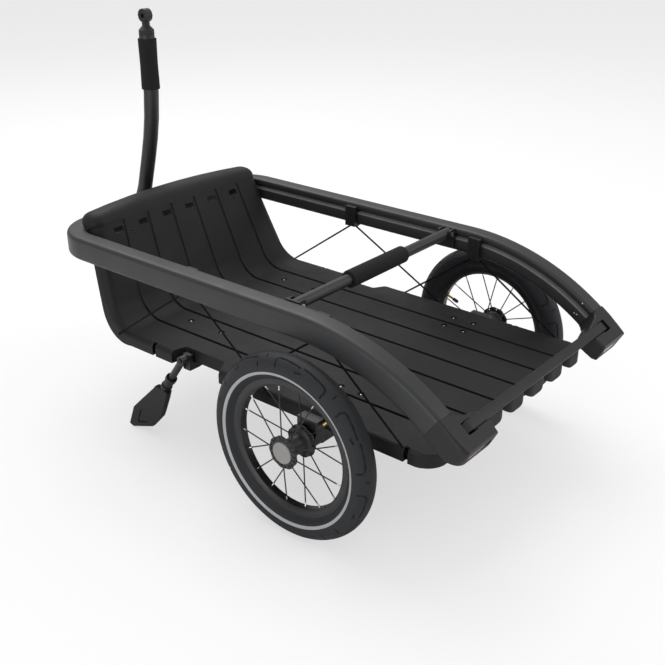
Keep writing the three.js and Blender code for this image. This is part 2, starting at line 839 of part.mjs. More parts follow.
const cap = cut(join(capBlock, capSeamRound), capUnder, lobeUnder, crossbarPocket, reflectorSeat, capSocket);
addPair('rail_end_cap', onSlope(cap), capBlack);
const reflector = box(
  [capLength - reflectorThickness, capLength],
  [-reflectorCentreY - reflectorLength / 2, -reflectorCentreY + reflectorLength / 2],
  [reflectorCentreN - reflectorHeight / 2, reflectorCentreN + reflectorHeight / 2],
);
addPair('rear_reflector', onSlope(reflector), reflectorRed);
const crossbarSection = roundedOutline([
  [crossbarStart, crossbarTop - crossbarThickness, crossbarRound],
  [crossbarStart + crossbarWidth, crossbarTop - crossbarThickness, crossbarRound],
  [crossbarStart + crossbarWidth, crossbarTop, crossbarRound],
  [crossbarStart, crossbarTop, crossbarRound],
], 1);
add('rear_crossbar', onSlope(pushY(crossbarSection, -crossbarEndY, crossbarEndY)), railGrey);

// Load tray: one wall swept from the rear edge along the floor, up the bend and panel and over the lip
const bendTurn = Math.PI / 2 - trayLean;
const bendSteps = 4;
const panelSteps = 2;
const lipSteps = 4;
const grooveCount = plankCount - 1;
const grooveYs = Array.from({ length: grooveCount }, (_, k) => plankPitch * (k - (grooveCount - 1) / 2));

const bendCentre = new THREE.Vector3(trayFloorEndX, 0, trayTopZ + trayBendRadius);
const panelNormal = new THREE.Vector3(Math.sin(bendTurn), 0, Math.cos(bendTurn));
const panelUp = new THREE.Vector3(-Math.cos(bendTurn), 0, Math.sin(bendTurn));
const panelFoot = bendCentre.clone().addScaledVector(panelNormal, -trayBendRadius);
const panelHead = panelFoot.clone().addScaledVector(panelUp, trayPanelLength);
const lipCentre = panelHead.clone().addScaledVector(panelNormal, -trayLipRadius);

function trayRing({ at, normal, half, edge, flange, groove = 1, narrow = 1, bow = 0 }) {
  const arc = (radius, fromAngle, toAngle, y, n) => Array.from({ length: roundSteps + 1 }, (_, k) => {
    const angle = THREE.MathUtils.lerp(fromAngle, toAngle, k / roundSteps);
    return [y + radius * Math.cos(angle), n + radius * Math.sin(angle)];
  });
  const line = (drop, order) => order.flatMap((y) => {
    const middle = y * narrow;
    const wide = grooveWidth / 2;
    const deep = grooveDepth * groove;
    const points = [[-wide, 0], [-wide / 2, -deep], [wide / 2, -deep], [wide, 0]];
    const under = [[wide, 0], [0, -underGrooveShare * deep], [-wide, 0]];
    const run = drop > 0 ? under : points;
    return run.map(([dy, n]) => [middle + dy, n - drop]);
  });
  const centreY = half - edge;
  const outline = [
    [-half, -flange],
    ...arc(edge, Math.PI, Math.PI / 2, -centreY, -edge),
    ...line(0, grooveYs),
    ...arc(edge, Math.PI / 2, 0, centreY, -edge),
    [half, -flange],
    [half - trayWall, -flange],
    ...arc(edge - trayWall, 0, Math.PI / 2, centreY, -edge),
    ...line(trayWall, grooveYs.toReversed()),
    ...arc(edge - trayWall, Math.PI / 2, Math.PI, -centreY, -edge),
    [-half + trayWall, -flange],
  ];
  return outline.map(([y, n]) => {
    const crown = bow * (y / lipHalfWidth) ** 2;
    return new THREE.Vector3(lipBow * crown, y, -lipCrown * crown).add(at).addScaledVector(normal, n);
  });
}

const trayStations = [
  { at: new THREE.Vector3(tongueEndX + cutOverrun, 0, trayTopZ), half: trayHalfWidth },
  { at: new THREE.Vector3(trayFloorEndX, 0, trayTopZ), half: trayHalfWidth },
].map((station) => {
  return { ...station, normal: new THREE.Vector3(0, 0, 1), edge: trayEdgeRadius, flange: trayFlangeDepth };
});
for (let k = 1; k <= bendSteps; k += 1) {
  const share = k / bendSteps;
  const normal = new THREE.Vector3(Math.sin(bendTurn * share), 0, Math.cos(bendTurn * share));
  trayStations.push({
    at: bendCentre.clone().addScaledVector(normal, -trayBendRadius),
    normal,
    half: THREE.MathUtils.lerp(trayHalfWidth, bendHalfWidth, share),
    edge: THREE.MathUtils.lerp(trayEdgeRadius, bendEdgeRadius, share),
    flange: THREE.MathUtils.lerp(trayFlangeDepth, panelCornerRadius, share),
  });
}
for (let k = 1; k <= panelSteps; k += 1) {
  const share = k / panelSteps;
  trayStations.push({
    at: panelFoot.clone().lerp(panelHead, share),
    normal: panelNormal,
    half: THREE.MathUtils.lerp(bendHalfWidth, panelHalfWidth, share),
    edge: THREE.MathUtils.lerp(bendEdgeRadius, panelCornerRadius, share),
    flange: panelCornerRadius + trayWall / 2,
    groove: k === panelSteps ? 0 : 1,
    narrow: THREE.MathUtils.lerp(1, grooveNarrowShare, share),
    bow: share ** 2 / 2,
  });
}
for (let k = 1; k <= lipSteps; k += 1) {
  const share = k / lipSteps;
  const angle = bendTurn - trayLipTurn * share;
  const normal = new THREE.Vector3(Math.sin(angle), 0, Math.cos(angle));
  trayStations.push({
    at: lipCentre.clone().addScaledVector(normal, trayLipRadius),
    normal,
    half: THREE.MathUtils.lerp(panelHalfWidth, lipHalfWidth, Math.min(1, 2 * share)),
    edge: THREE.MathUtils.lerp(panelCornerRadius, lipEdgeRadius, share),
    flange: lipEdgeRadius + trayWall / 2,
    groove: 0,
    narrow: grooveNarrowShare,
    bow: (1 + Math.min(1, 2 * share)) / 2,
  });
}
const flatRing = trayRing({
  at: new THREE.Vector3(),
  normal: new THREE.Vector3(0, 0, 1),
  half: trayHalfWidth,
  edge: trayEdgeRadius,
  flange: trayFlangeDepth,
}).map((point) => new THREE.Vector2(point.y, point.z));
const traySweep = loft(trayStations.map(trayRing), flatRing);

// Rear edge: a row of rounded tongues with a flange below them
function tongueOutline(inset, frontX, sideY) {
  const half = trayHalfWidth - inset;
  const cornerX = tongueEndX - trayOuterCornerRadius;
  const corners = [[frontX, -sideY], [cornerX, -sideY], [cornerX, -half]];
  for (let k = 0; k < plankCount; k += 1) {
    const first = k === 0;
    const final = k === plankCount - 1;
    const low = first ? -half : grooveYs[k - 1] + tongueNotch / 2 + inset;
    const high = final ? half : grooveYs[k] - tongueNotch / 2 - inset;
    const end = tongueEndX - inset;
    const valley = tongueValleyX - inset;
    const radius = tongueCornerRadius - inset;
    if (!first) corners.push([valley, low]);
    corners.push([end, low, first ? trayOuterCornerRadius - inset : radius]);
    corners.push([end, high, final ? trayOuterCornerRadius - inset : radius]);
    if (!final) corners.push([valley, high]);
  }
  corners.push([cornerX, half], [cornerX, sideY], [frontX, sideY]);
  return roundedOutline(corners, 3);
}
const trayReachX = trayReachShare * railFrontX;
const stripTop = trayTopZ - trayWall + stripLap;
const stripBottom = trayTopZ - trayFlangeDepth;
const stripDepth = stripTop - stripBottom;
const trayClip = push(
  tongueOutline(0, trayReachX, trayHalfWidth + cutOverrun),
  2 * railCentreZ,
);
const rearStrip = cut(
  push(tongueOutline(0, tongueValleyX - trayOuterCornerRadius, trayHalfWidth - trayWall / 2), stripDepth),
  push(tongueOutline(trayWall, 0, trayHalfWidth - trayWall), stripDepth + 2 * cutOverrun)
    .translate(0, 0, -cutOverrun),
).translate(0, 0, stripBottom);

// Side recess over the stand, with its own flange
function recessOutline(wall) {
  const edgeY = -trayHalfWidth - cutOverrun;
  const deepY = -trayHalfWidth + recessDepth + wall;
  return [
    [recessFrontX - wall, edgeY],
    [recessRearX + wall, edgeY],
    [recessRearX + wall, -trayHalfWidth + trayEdgeRadius / 2],
    [recessRearX - recessRearSlope + wall, deepY],
    [recessFrontX + recessFrontSlope - wall, deepY],
    [recessFrontX - wall, -trayHalfWidth + trayEdgeRadius / 2],
  ].map((point) => new THREE.Vector2(...point));
}
const recessCut = push(recessOutline(0), trayTopZ);
const recessStrip = meet(
  push(recessOutline(trayWall), stripDepth).translate(0, 0, stripBottom),
  box([trayFloorEndX, 0], [-trayHalfWidth + trayWall / 2, 0], [0, trayTopZ]),
);
const notchXs = notchShares.map((share) => THREE.MathUtils.lerp(trayFloorEndX, tongueEndX, share));
const notches = notchXs.map((x) => box(
  [x - edgeNotchWidth / 2, x + edgeNotchWidth / 2],
  [-trayHalfWidth - cutOverrun, -trayHalfWidth + edgeNotchDepth],
  [stripBottom - cutOverrun, trayTopZ + cutOverrun],
));
const saddleXs = [-2 * memberHalfWidth, beamHalf + saddleRearShare * memberHalfWidth];
const saddleInnerY = memberY + memberHalfWidth;
const floorScrews = [
  ...memberScrewShares.map((share) => [THREE.MathUtils.lerp(memberFrontX, beamHalf, share), memberY]),
  ...saddleScrewShares.map(([along, across]) => [
    THREE.MathUtils.lerp(...saddleXs, along),
    THREE.MathUtils.lerp(saddleInnerY, saddleOuterY, across),
  ]),
];
const screwHoles = floorScrews.map(([x, y]) => rod(
  new THREE.Vector3(x, -y, trayTopZ - 2 * cutOverrun),
  new THREE.Vector3(x, -y, trayTopZ + cutOverrun),
  screwHoleRadius,
  smallHoleFacets,
));
function onPanel(geometry, fromTop) {
  const across = new THREE.Vector3(0, 1, 0);
  const place = new THREE.Matrix4().makeBasis(panelUp, across, panelNormal.clone().negate());
  place.setPosition(panelHead.clone().addScaledVector(panelUp, -fromTop));
  return geometry.applyMatrix4(place);
}
const panelSlots = grooveYs.map((y) => onPanel(box(
  [-panelSlotHeight / 2, panelSlotHeight / 2],
  [y * grooveNarrowShare - panelSlotAside, y * grooveNarrowShare - panelSlotAside + panelSlotWidth],
  [-3 * cutOverrun, 3 * cutOverrun],
), panelSlotTop + panelSlotHeight / 2));
const panelScrews = [-1, 1].map((side) => onPanel(rod(
  new THREE.Vector3(0, side * panelScrewY, -3 * cutOverrun),
  new THREE.Vector3(0, side * panelScrewY, 3 * cutOverrun),
  screwHoleRadius,
  smallHoleFacets,
), panelScrewTop));
const sideCuts = [...notches, ...screwHoles];
const trayTrimmed = join(meet(traySweep, trayClip), rearStrip);
const trayRecessed = join(
  cut(trayTrimmed, recessCut, mirrored(recessCut)),
  cut(recessStrip, recessCut),
  mirrored(cut(recessStrip, recessCut)),
);
const tray = cut(trayRecessed, ...sideCuts, ...sideCuts.map(mirrored), ...panelSlots, ...panelScrews);

// Cross handle: a tube pinned between two brackets on the rail's inner sides
const railInnerY = railCentreY - railHalfWidth;
const faceY = railInnerY - bandProudInside - touchGap;
const tubeEndY = faceY - bracketThickness - touchGap;

function slotTongue(x, length) {
  return box(
    [x - length / 2, x + length / 2],
    [-railInnerY - slotLipDepth - slotUndercut, -faceY + touchGap],
    [railCentreZ + slotMouthLow + touchGap, railCentreZ + slotMouthHigh - touchGap],
  );
}

const cheekInner = handleTubeRadius + touchGap;
const cheekOuter = cheekInner + cheekThickness;
const cheekReachY = handlePinY - handleTubeRadius;
const cheekOutline = roundedOutline([
  [-faceY, handleZ - handleTubeRadius],
  [-cheekReachY, handleZ - handleTubeRadius, handleTubeRadius / 2],
  [-cheekReachY, handleZ + handleTubeRadius, handleTubeRadius / 2],
  [-faceY, handleZ + handleTubeRadius],
], 2);
const cheeks = [-cheekOuter, cheekInner].map((from) => {
  return push(cheekOutline, cheekThickness)
    .rotateX(Math.PI / 2)
    .rotateZ(Math.PI / 2)
    .translate(handleX + from, 0, 0);
});
const bracketBase = box(
  [handleX - bracketLength / 2, handleX + bracketLength / 2],
  [-faceY, -faceY + bracketThickness],
  [railCentreZ - railHalfHeight + railCornerRadius, handleZ + handleTubeRadius],
);
const pinHole = rod(
  new THREE.Vector3(handleX - 2 * cheekOuter, -handlePinY, handleZ),
  new THREE.Vector3(handleX + 2 * cheekOuter, -handlePinY, handleZ),
  handlePinRadius + touchGap,
);
addPair(
  'handle_bracket',
  cut(join(bracketBase, ...cheeks, slotTongue(handleX, bracketLength - cheekThickness)), pinHole),
  capBlack,
);
const handlePin = revolve([
  [0, -cheekOuter - pinHeadThickness - touchGap],
  [pinHeadRadius, -cheekOuter - pinHeadThickness - touchGap],
  [pinHeadRadius, -cheekOuter - touchGap],
  [handlePinRadius, -cheekOuter - touchGap],
  [handlePinRadius, cheekOuter + pinHeadThickness],
  [0, cheekOuter + pinHeadThickness],
], boreFacets).rotateZ(Math.PI / 2).translate(handleX, -handlePinY, handleZ);
addPair('handle_pin', handlePin, steel);
const handleTube = revolveClosed([
  [handleTubeRadius - tubeWall, -tubeEndY],
  [handleTubeRadius, -tubeEndY],
  [handleTubeRadius, tubeEndY],
  [handleTubeRadius - tubeWall, tubeEndY],
], tubeFacets).translate(handleX, 0, handleZ);
add('handle_tube', cut(handleTube, pinHole, mirrored(pinHole)), railGrey);
const foamGrip = revolveClosed([
  [handleTubeRadius + touchGap, gripNearY],
  [gripRadius - gripRound, gripNearY],
  [gripRadius, gripNearY + gripRound],
  [gripRadius, gripFarY - gripRound],
  [gripRadius - gripRound, gripFarY],
  [handleTubeRadius + touchGap, gripFarY],
], tubeFacets).translate(handleX, 0, handleZ);
add('foam_grip', foamGrip, foamBlack);

// Route of a bent rod: straight runs with rounded corners, one station where each bend turns
class BentRoute extends THREE.Curve {
  constructor(points, radius, bendPoints = 2) {
    super();
    this.stations = [points[0]];
    for (let i = 1; i + 1 < points.length; i += 1) {
      const before = points[i - 1].clone().sub(points[i]).normalize().multiplyScalar(radius).add(points[i]);
      const after = points[i + 1].clone().sub(points[i]).normalize().multiplyScalar(radius).add(points[i]);
      const bend = new THREE.QuadraticBezierCurve3(before, points[i], after);
      this.stations.push(...bend.getPoints(bendPoints));
    }
    this.stations.push(points[points.length - 1]);
  }

  get steps() {
    return this.stations.length - 1;
  }

  getPoint(t, target = new THREE.Vector3()) {
    const reach = THREE.MathUtils.clamp(t, 0, 1) * this.steps;
    const k = Math.min(Math.floor(reach), this.steps - 1);
    return target.copy(this.stations[k]).lerp(this.stations[k + 1], reach - k);
  }

  getTangent(t, target = new THREE.Vector3()) {
    const k = Math.round(THREE.MathUtils.clamp(t, 0, 1) * this.steps);
    const here = this.stations[k];
    const before = this.stations[Math.max(k - 1, 0)];
    const after = this.stations[Math.min(k + 1, this.steps)];
    const back = k > 0 ? here.clone().sub(before).normalize() : new THREE.Vector3();
    const ahead = k < this.steps ? after.clone().sub(here).normalize() : new THREE.Vector3();
    return target.copy(back).add(ahead).normalize();
  }

  getPointAt(u, target) {
    return this.getPoint(u, target);
  }

  getTangentAt(u, target) {
    return this.getTangent(u, target);
  }
}

function bentRod(points, bendRadius, radius, facets) {
  const route = new BentRoute(points, bendRadius);
  return tube(route, radius, route.steps, facets);
}

// Seat on the rail at x: the flat run ahead of the drop, or the facet of the drop that x lies on
function railSeat(x) {
  if (x <= railDropStartX) return { x, z: railCentreZ, slope: 0 };
  const step = railDropAngle / railDropSteps;
  const k = Math.floor(Math.asin((x - railDropStartX) / railDropRadius) / step);
  const slope = (k + 1 / 2) * step;
  const startX = railDropStartX + railDropRadius * Math.sin(k * step);
  const startZ = railCentreZ - railDropRadius * (1 - Math.cos(k * step));
  return { x, z: startZ - (x - startX) * Math.tan(slope), slope };
}

function onRail(geometry, x) {
  const seat = railSeat(x);
  return geometry.clone().rotateY(seat.slope).translate(seat.x, 0, seat.z);
}

// Clips hang in the rail's slot; each carries a wire loop that a lacing cord runs over
const barDrop = loopDrop + cordRadius + loopWireRadius + touchGap;
const clipTop = slotTopHigh;
const footTop = -railHalfHeight - touchGap;
const footBottom = footTop - clipFootThickness;
const lugBottom = footBottom - clipLugDrop;
const ribPitch = clipLength / clipRibCount;
const clipFace = -faceY + clipWidth;
const clipOutline = [[-clipLength / 2, -faceY], [-clipLength / 2, clipFace]];
for (let k = 0; k < clipRibCount; k += 1) {
  const start = ribPitch * k - clipLength / 2;
  if (k > 0) clipOutline.push([start + ribPitch / 4, clipFace - clipRibDepth]);
  clipOutline.push([start + ribPitch / 3, clipFace], [start + 2 * ribPitch / 3, clipFace]);
  if (k + 1 < clipRibCount) clipOutline.push([start + 3 * ribPitch / 4, clipFace - clipRibDepth]);
}
clipOutline.push([clipLength / 2, clipFace], [clipLength / 2, -faceY]);
const clipBlock = push(clipOutline.map((point) => new THREE.Vector2(...point)), clipTop - footBottom)
  .translate(0, 0, footBottom);
const clipFoot = box(
  [-clipLength / 2, clipLength / 2],
  [-loopY - clipLugWidth, -faceY + touchGap],
  [footBottom, footTop],
);
const clipLugs = [-1, 1].map((side) => box(
  [side * loopHalfWidth - clipLugWidth / 2, side * loopHalfWidth + clipLugWidth / 2],
  [-loopY - clipLugWidth / 2, -loopY + clipLugWidth / 2],
  [lugBottom, footBottom + clipFootThickness / 2],
));
const loopAt = (side, z) => new THREE.Vector3(side * loopHalfWidth, -loopY, z);
const clipBores = [-1, 1].map((side) => {
  const ends = [lugBottom - cutOverrun, footBottom + touchGap].map((z) => loopAt(side, z));
  return rod(...ends, loopWireRadius + touchGap, cordFacets);
});
const clipTongue = slotTongue(0, clipLength - ribPitch).translate(0, 0, -railCentreZ);
const clip = cut(join(clipBlock, clipFoot, ...clipLugs, clipTongue), ...clipBores);
const loop = bentRod(
  [loopAt(-1, footBottom), loopAt(-1, -barDrop), loopAt(1, -barDrop), loopAt(1, footBottom)],
  2 * loopWireRadius,
  loopWireRadius,
  cordFacets,
);
[['front', frontLoopX], ['rear', rearLoopX]].forEach(([place, x]) => {
  addPair(`cord_clip_${place}`, onRail(clip, x), capBlack);
  addPair(`cord_loop_${place}`, onRail(loop, x), steel);
});

// Lacing cord: from the front of the tray's edge over the front loop, under the edge, over the rear loop
function overLoop(x) {
  const seat = railSeat(x);
  return [-1, 1].map((side) => {
    return new THREE.Vector3(seat.x + side * cordCrossX, -loopY + side * cordCrossY, seat.z - loopDrop);
  });
}

const [hole1, hole2, hole3, hole4] = cordHoleXs;
const tuck = (x, z = cordTuckZ) => new THREE.Vector3(x, -cordTuckY, z);
const outside = (x, y, z) => new THREE.Vector3(x, -y, z);
const cordRoute = [
  tuck(hole1, cordBendZ - cordTuckRise),
  outside(hole1, bendHalfWidth + cordTuckRise, cordBendZ),
  ...overLoop(frontLoopX),
  outside(hole3, trayHalfWidth + cordOuterOffset, cordEdgeZ),
  tuck(hole3),
  tuck(hole2),
  outside(hole2, trayHalfWidth - cordInnerOffset, cordEdgeZ),
  ...overLoop(rearLoopX),
  outside(hole4, trayHalfWidth - cordInnerOffset, cordEdgeZ),
  tuck(hole4),
];
addPair('lacing_cord', bentRod(cordRoute, 2 * cordRadius, cordRadius, cordFacets), cordBlack);
const cordHoles = bentRod(cordRoute, 2 * cordRadius, cordRadius + 2 * touchGap, cordFacets);
add('load_tray', cut(tray, cordHoles, mirrored(cordHoles)), trayBlack);

// Underframe: axle beam, two members under the floor, cross tubes and saddles, welded into one
const trayUnder = trayTopZ - trayWall - touchGap;
const grooveUnder = trayUnder - underGrooveShare * grooveDepth;
const beamEndY = receiverInnerY - touchGap;
const memberTop = trayUnder;
const memberBottom = memberTop - memberHeight;
const crossTop = memberBottom + weldLap;
const crossBottom = crossTop - memberHeight;
const beam = pushY(roundedOutline([
  [-beamHalf, tyreRadius - beamHalf, beamCorner],
  [beamHalf, tyreRadius - beamHalf, beamCorner],
  [beamHalf, tyreRadius + beamHalf, beamCorner],
  [-beamHalf, tyreRadius + beamHalf, beamCorner],
], 2), -beamEndY, beamEndY);
const member = box(
  [memberFrontX, beamHalf],
  [-memberY - memberHalfWidth, -memberY + memberHalfWidth],
  [memberBottom, memberTop],
);
const crossTube = (x, reach) => {
  return box([x - memberHalfWidth, x + memberHalfWidth], [-reach, reach], [crossBottom, crossTop]);
};
const crossReachY = saddleInnerY + weldLap;
const saddleBase = box(saddleXs, [-saddleOuterY, -memberY], [tyreRadius + beamHalf - weldLap, grooveUnder]);
const padGap = grooveWidth / 2 + touchGap;
const outerGroove = grooveYs[grooveCount - 1];
const pads = [
  box(saddleXs, [-saddleOuterY, -outerGroove - padGap], [grooveUnder - weldLap, trayUnder]),
  box(saddleXs, [-outerGroove + padGap, -memberY], [grooveUnder - weldLap, trayUnder]),
];
const standBaseY = saddleOuterY + weldLap;
const underframe = join(
  beam,
  member,
  mirrored(member),
  crossTube(frontTubeX, standBaseY),
  crossTube(drawbarTubeX, crossReachY),
  saddleBase,
  mirrored(saddleBase),
  ...pads,
  ...pads.map(mirrored),
);
const axleBore = rodY(0, tyreRadius, -trackHalf, trackHalf, bearingBoreRadius);
add('underframe', cut(underframe, axleBore), frameBlack);

// Wheel receivers on the beam's ends, bored for the axles
const receiverFoot = box(
  [receiverFrontX, receiverRearX],
  [-receiverOuterY, -receiverInnerY],
  [receiverBottomZ, receiverTopZ],
);
const receiverPost = box(
  [receiverFrontX + beamHalf / 2, receiverRearX - beamHalf / 2],
  [-receiverOuterY, -trayHalfWidth - 3 * touchGap],
  [receiverTopZ - weldLap, receiverPostZ],
);
addPair('wheel_receiver', cut(join(receiverFoot, receiverPost), axleBore), frameBlack);

// Stands: bracket on the front cross tube, pin, leg, collar and foot, drawn for the left side
const legInner = standLegY - standLegRadius;
const legOuter = standLegY + standLegRadius;
const lugY = [-legInner + touchGap, -legInner + touchGap + standLugThickness];
const standLugXs = [-1, 1].map((side) => standPivotX + side * standEyeRadius + standLugAhead);
const standLug = box(standLugXs, lugY, [
  crossBottom,
  standPivotZ + standEyeRadius,
]);
const standBase = box(
  standLugXs,
  [lugY[0], -standBaseY - touchGap],
  [crossBottom, stripBottom - 2 * touchGap],
);
const standBoreEnds = [-legOuter - cutOverrun, -legInner + 3 * cutOverrun];
const standBore = rodY(standPivotX, standPivotZ, ...standBoreEnds, standPinRadius + touchGap);
addPair('stand_bracket', cut(join(standLug, standBase), standBore), frameBlack);
const standPin = revolve([
  [0, -legOuter - touchGap - pinHeadThickness],
  [pinHeadRadius, -legOuter - touchGap - pinHeadThickness],
  [pinHeadRadius, -legOuter - touchGap],
  [standPinRadius, -legOuter - touchGap],
  [standPinRadius, lugY[1] + pinHeadThickness],
  [0, lugY[1] + pinHeadThickness],
], boreFacets).translate(standPivotX, 0, standPivotZ);
addPair('stand_pivot_pin', standPin, steel);

// Down the leg from its pivot: the leg's own frame has its pivot at the origin and runs along -Z
function onLeg(geometry) {
  return geometry.clone().rotateY(standLean).translate(standPivotX, 0, standPivotZ);
}

function legSleeve(from, to, outer, bore) {
  return revolveClosed([
    [bore, from],
    [outer, from],
    [outer, to],
    [bore, to],
  ], tubeFacets).rotateX(-Math.PI / 2).translate(0, -standLegY, 0);
}

const legTube = rod(
  new THREE.Vector3(0, -standLegY, 0),
  new THREE.Vector3(0, -standLegY, -standLegLength),
  standLegRadius,
  tubeFacets,
);
const legEye = rodY(0, 0, -legOuter, -legInner, standEyeRadius, tubeFacets);
const legBore = rodY(0, 0, -legOuter - cutOverrun, -legInner + cutOverrun, standPinRadius + touchGap);
addPair('stand_leg', onLeg(cut(join(legTube, legEye), legBore)), frameBlack);
const collarEnd = standCollarStart + standCollarLength;
const collarBand = standCollarLength / 4;
const collar = join(
  legSleeve(standCollarStart, collarEnd, standCollarRadius - standCollarWaist, standLegRadius + touchGap),
  legSleeve(standCollarStart, standCollarStart + collarBand, standCollarRadius, standLegRadius + touchGap),
  legSleeve(collarEnd - collarBand, collarEnd, standCollarRadius, standLegRadius + touchGap),
);
addPair('stand_collar', onLeg(collar), capBlack);

// The foot's side outline as shares of its height and length
const footShares = [
  [0.96, 1], [0.19, 0.40], [0, 0.05], [0.13, 0], [0.30, 0.03], [0.735, 0.215], [1.07, 0.47], [1.24, 0.85],
];
const footOutline = footShares.map(([x, z]) => new THREE.Vector2(
  footToeX + x * footLength,
  z * footHeight,
));
const footSides = [-standLegY - standFootThickness / 2, -standLegY + standFootThickness / 2];
const footBody = pushY(footOutline, ...footSides, footEdge, 1);
const footSocket = onLeg(rod(
  new THREE.Vector3(0, -standLegY, -standCollarStart),
  new THREE.Vector3(0, -standLegY, -standLegLength - touchGap),
  standLegRadius + touchGap,
  tubeFacets,
));
const collarRoom = onLeg(rod(
  new THREE.Vector3(0, -standLegY, -standCollarStart),
  new THREE.Vector3(0, -standLegY, -collarEnd - touchGap),
  2 * standCollarRadius,
  tubeFacets,
));
addPair('stand_foot', cut(footBody, footSocket, collarRoom), rubberBlack);

// Drawbar: bracket under the front of the tray, pin, clamp knob, bent tube, grip and coupling
const drawbarCheekInner = drawbarRadius + touchGap;
const drawbarCheekOuter = drawbarCheekInner + cheekOfDrawbar;
const drawbarEyeRadius = drawbarRadius + drawbarEyeWall;
const bracketBackX = drawbarTubeX - memberHalfWidth - touchGap;
const drawbarCheekOutline = roundedOutline([
  [bracketBackX, crossBottom],
  [bracketBackX, crossTop],
  [drawbarPivotX - drawbarEyeRadius, drawbarPivotZ + drawbarEyeRadius, drawbarEyeRadius / 2],
  [drawbarPivotX - drawbarEyeRadius, drawbarPivotZ - drawbarEyeRadius, drawbarEyeRadius / 2],
]);
const drawbarCheek = pushY(drawbarCheekOutline, -drawbarCheekOuter, -drawbarCheekInner);
const drawbarPlate = box(
  [bracketBackX - cheekOfDrawbar, bracketBackX],
  [-2 * drawbarCheekOuter, 2 * drawbarCheekOuter],
  [crossBottom, crossTop],
);
const drawbarBore = rodY(
  drawbarPivotX,
  drawbarPivotZ,
  -2 * drawbarCheekOuter,
  2 * drawbarCheekOuter,
  drawbarPinRadius + touchGap,
);
const drawbarFork = join(drawbarPlate, drawbarCheek, mirrored(drawbarCheek));
add('drawbar_bracket', cut(drawbarFork, drawbarBore), frameBlack);
const knobInner = -drawbarCheekOuter - touchGap;
const knobOuter = knobInner - knobThickness;
const drawbarPin = revolve([
  [0, knobOuter],
  [drawbarPinRadius, knobOuter],
  [drawbarPinRadius, drawbarCheekOuter + touchGap],
  [pinHeadShare * drawbarPinRadius, drawbarCheekOuter + touchGap],
  [pinHeadShare * drawbarPinRadius, drawbarCheekOuter + touchGap + drawbarPinRadius],
  [0, drawbarCheekOuter + touchGap + drawbarPinRadius],
], boreFacets).translate(drawbarPivotX, 0, drawbarPivotZ);
add('drawbar_pivot_pin', drawbarPin, steel);
const knobPoints = knobLobes * roundSteps;
const knobOutline = Array.from({ length: knobPoints }, (_, k) => {
  const angle = 2 * Math.PI * k / knobPoints;
  const radius = knobRadius * (1 - knobHollowShare * (1 - Math.cos(knobLobes * angle)) / 2);
  return new THREE.Vector2(radius * Math.cos(angle), radius * Math.sin(angle));
});
const knob = pushY(knobOutline, knobOuter, knobInner, knobEdge, 1).translate(drawbarPivotX, 0, drawbarPivotZ);
add('drawbar_clamp_knob', cut(knob, drawbarBore), capBlack);

const drawbarPoints = drawbarRouteShares.map(([x, z]) => new THREE.Vector3(
  THREE.MathUtils.lerp(drawbarPivotX, drawbarTopX, x),
  0,
  THREE.MathUtils.lerp(drawbarPivotZ, drawbarTopZ, z),
));
const drawbarBend = new THREE.CatmullRomCurve3(drawbarPoints).getPoints(drawbarSteps);
const drawbarTop = new THREE.Vector3(drawbarTopX, 0, drawbarTopZ);
const drawbarRoute = new BentRoute([drawbarPoints[0], drawbarTop], 0);
drawbarRoute.stations = [...drawbarBend, drawbarTop];
const drawbarBar = tube(drawbarRoute, drawbarRadius, drawbarRoute.steps, tubeFacets);
const drawbarEyeEnds = [-drawbarRadius, drawbarRadius];
const drawbarEye = rodY(drawbarPivotX, drawbarPivotZ, ...drawbarEyeEnds, drawbarEyeRadius, tubeFacets);
add('drawbar_tube', cut(join(drawbarBar, drawbarEye), drawbarBore), railGrey);
const gripTopZ = drawbarTopZ - gripBelowTop;
const drawbarGrip = revolveClosed([
  [drawbarRadius + touchGap, gripTopZ - drawbarGripLength],
  [drawbarGripRadius + drawbarGripFlare, gripTopZ - drawbarGripLength],
  [drawbarGripRadius, gripTopZ - drawbarGripLength / 2],
  [drawbarGripRadius + drawbarGripFlare, gripTopZ],
  [drawbarRadius + touchGap, gripTopZ],
], tubeFacets).rotateX(Math.PI / 2).translate(drawbarTopX, 0, 0);
add('drawbar_grip', drawbarGrip, foamBlack);
const couplingBase = drawbarTopZ + touchGap;
const couplingNeck = revolve([
  [0, couplingBase],
  [drawbarRadius, couplingBase],
  [drawbarRadius, couplingBase + couplingLength / 6],
  [drawbarRadius / 2, couplingBase + couplingLength / 3],
  [drawbarRadius / 2, couplingBase + couplingLength - couplingEyeRadius],
  [0, couplingBase + couplingLength - couplingEyeRadius],
], tubeFacets).rotateX(Math.PI / 2).translate(drawbarTopX, 0, 0);
const couplingZ = couplingBase + couplingLength - couplingEyeRadius;
const couplingEyeEnds = [-drawbarRadius / 2, drawbarRadius / 2];
const couplingEye = rodY(drawbarTopX, couplingZ, ...couplingEyeEnds, couplingEyeRadius, tubeFacets);
const couplingBore = rodY(drawbarTopX, couplingZ, -drawbarRadius, drawbarRadius, couplingEyeBore);
add('hitch_coupling', cut(join(couplingNeck, couplingEye), couplingBore), steel);

// The origin sits on the ground below the middle of everything
const extent = new THREE.Box3().setFromObject(trailer);
const middle = extent.getCenter(new THREE.Vector3());
trailer.position.set(-middle.x, -middle.y, -extent.min.z);

export default trailer;
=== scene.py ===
"""Cargo bike trailer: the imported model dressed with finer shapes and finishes."""

import json
import math

import bmesh
import bpy
import numpy as np
from bpy.props import FloatProperty, FloatVectorProperty, IntProperty, PointerProperty
from mathutils import Matrix, Vector

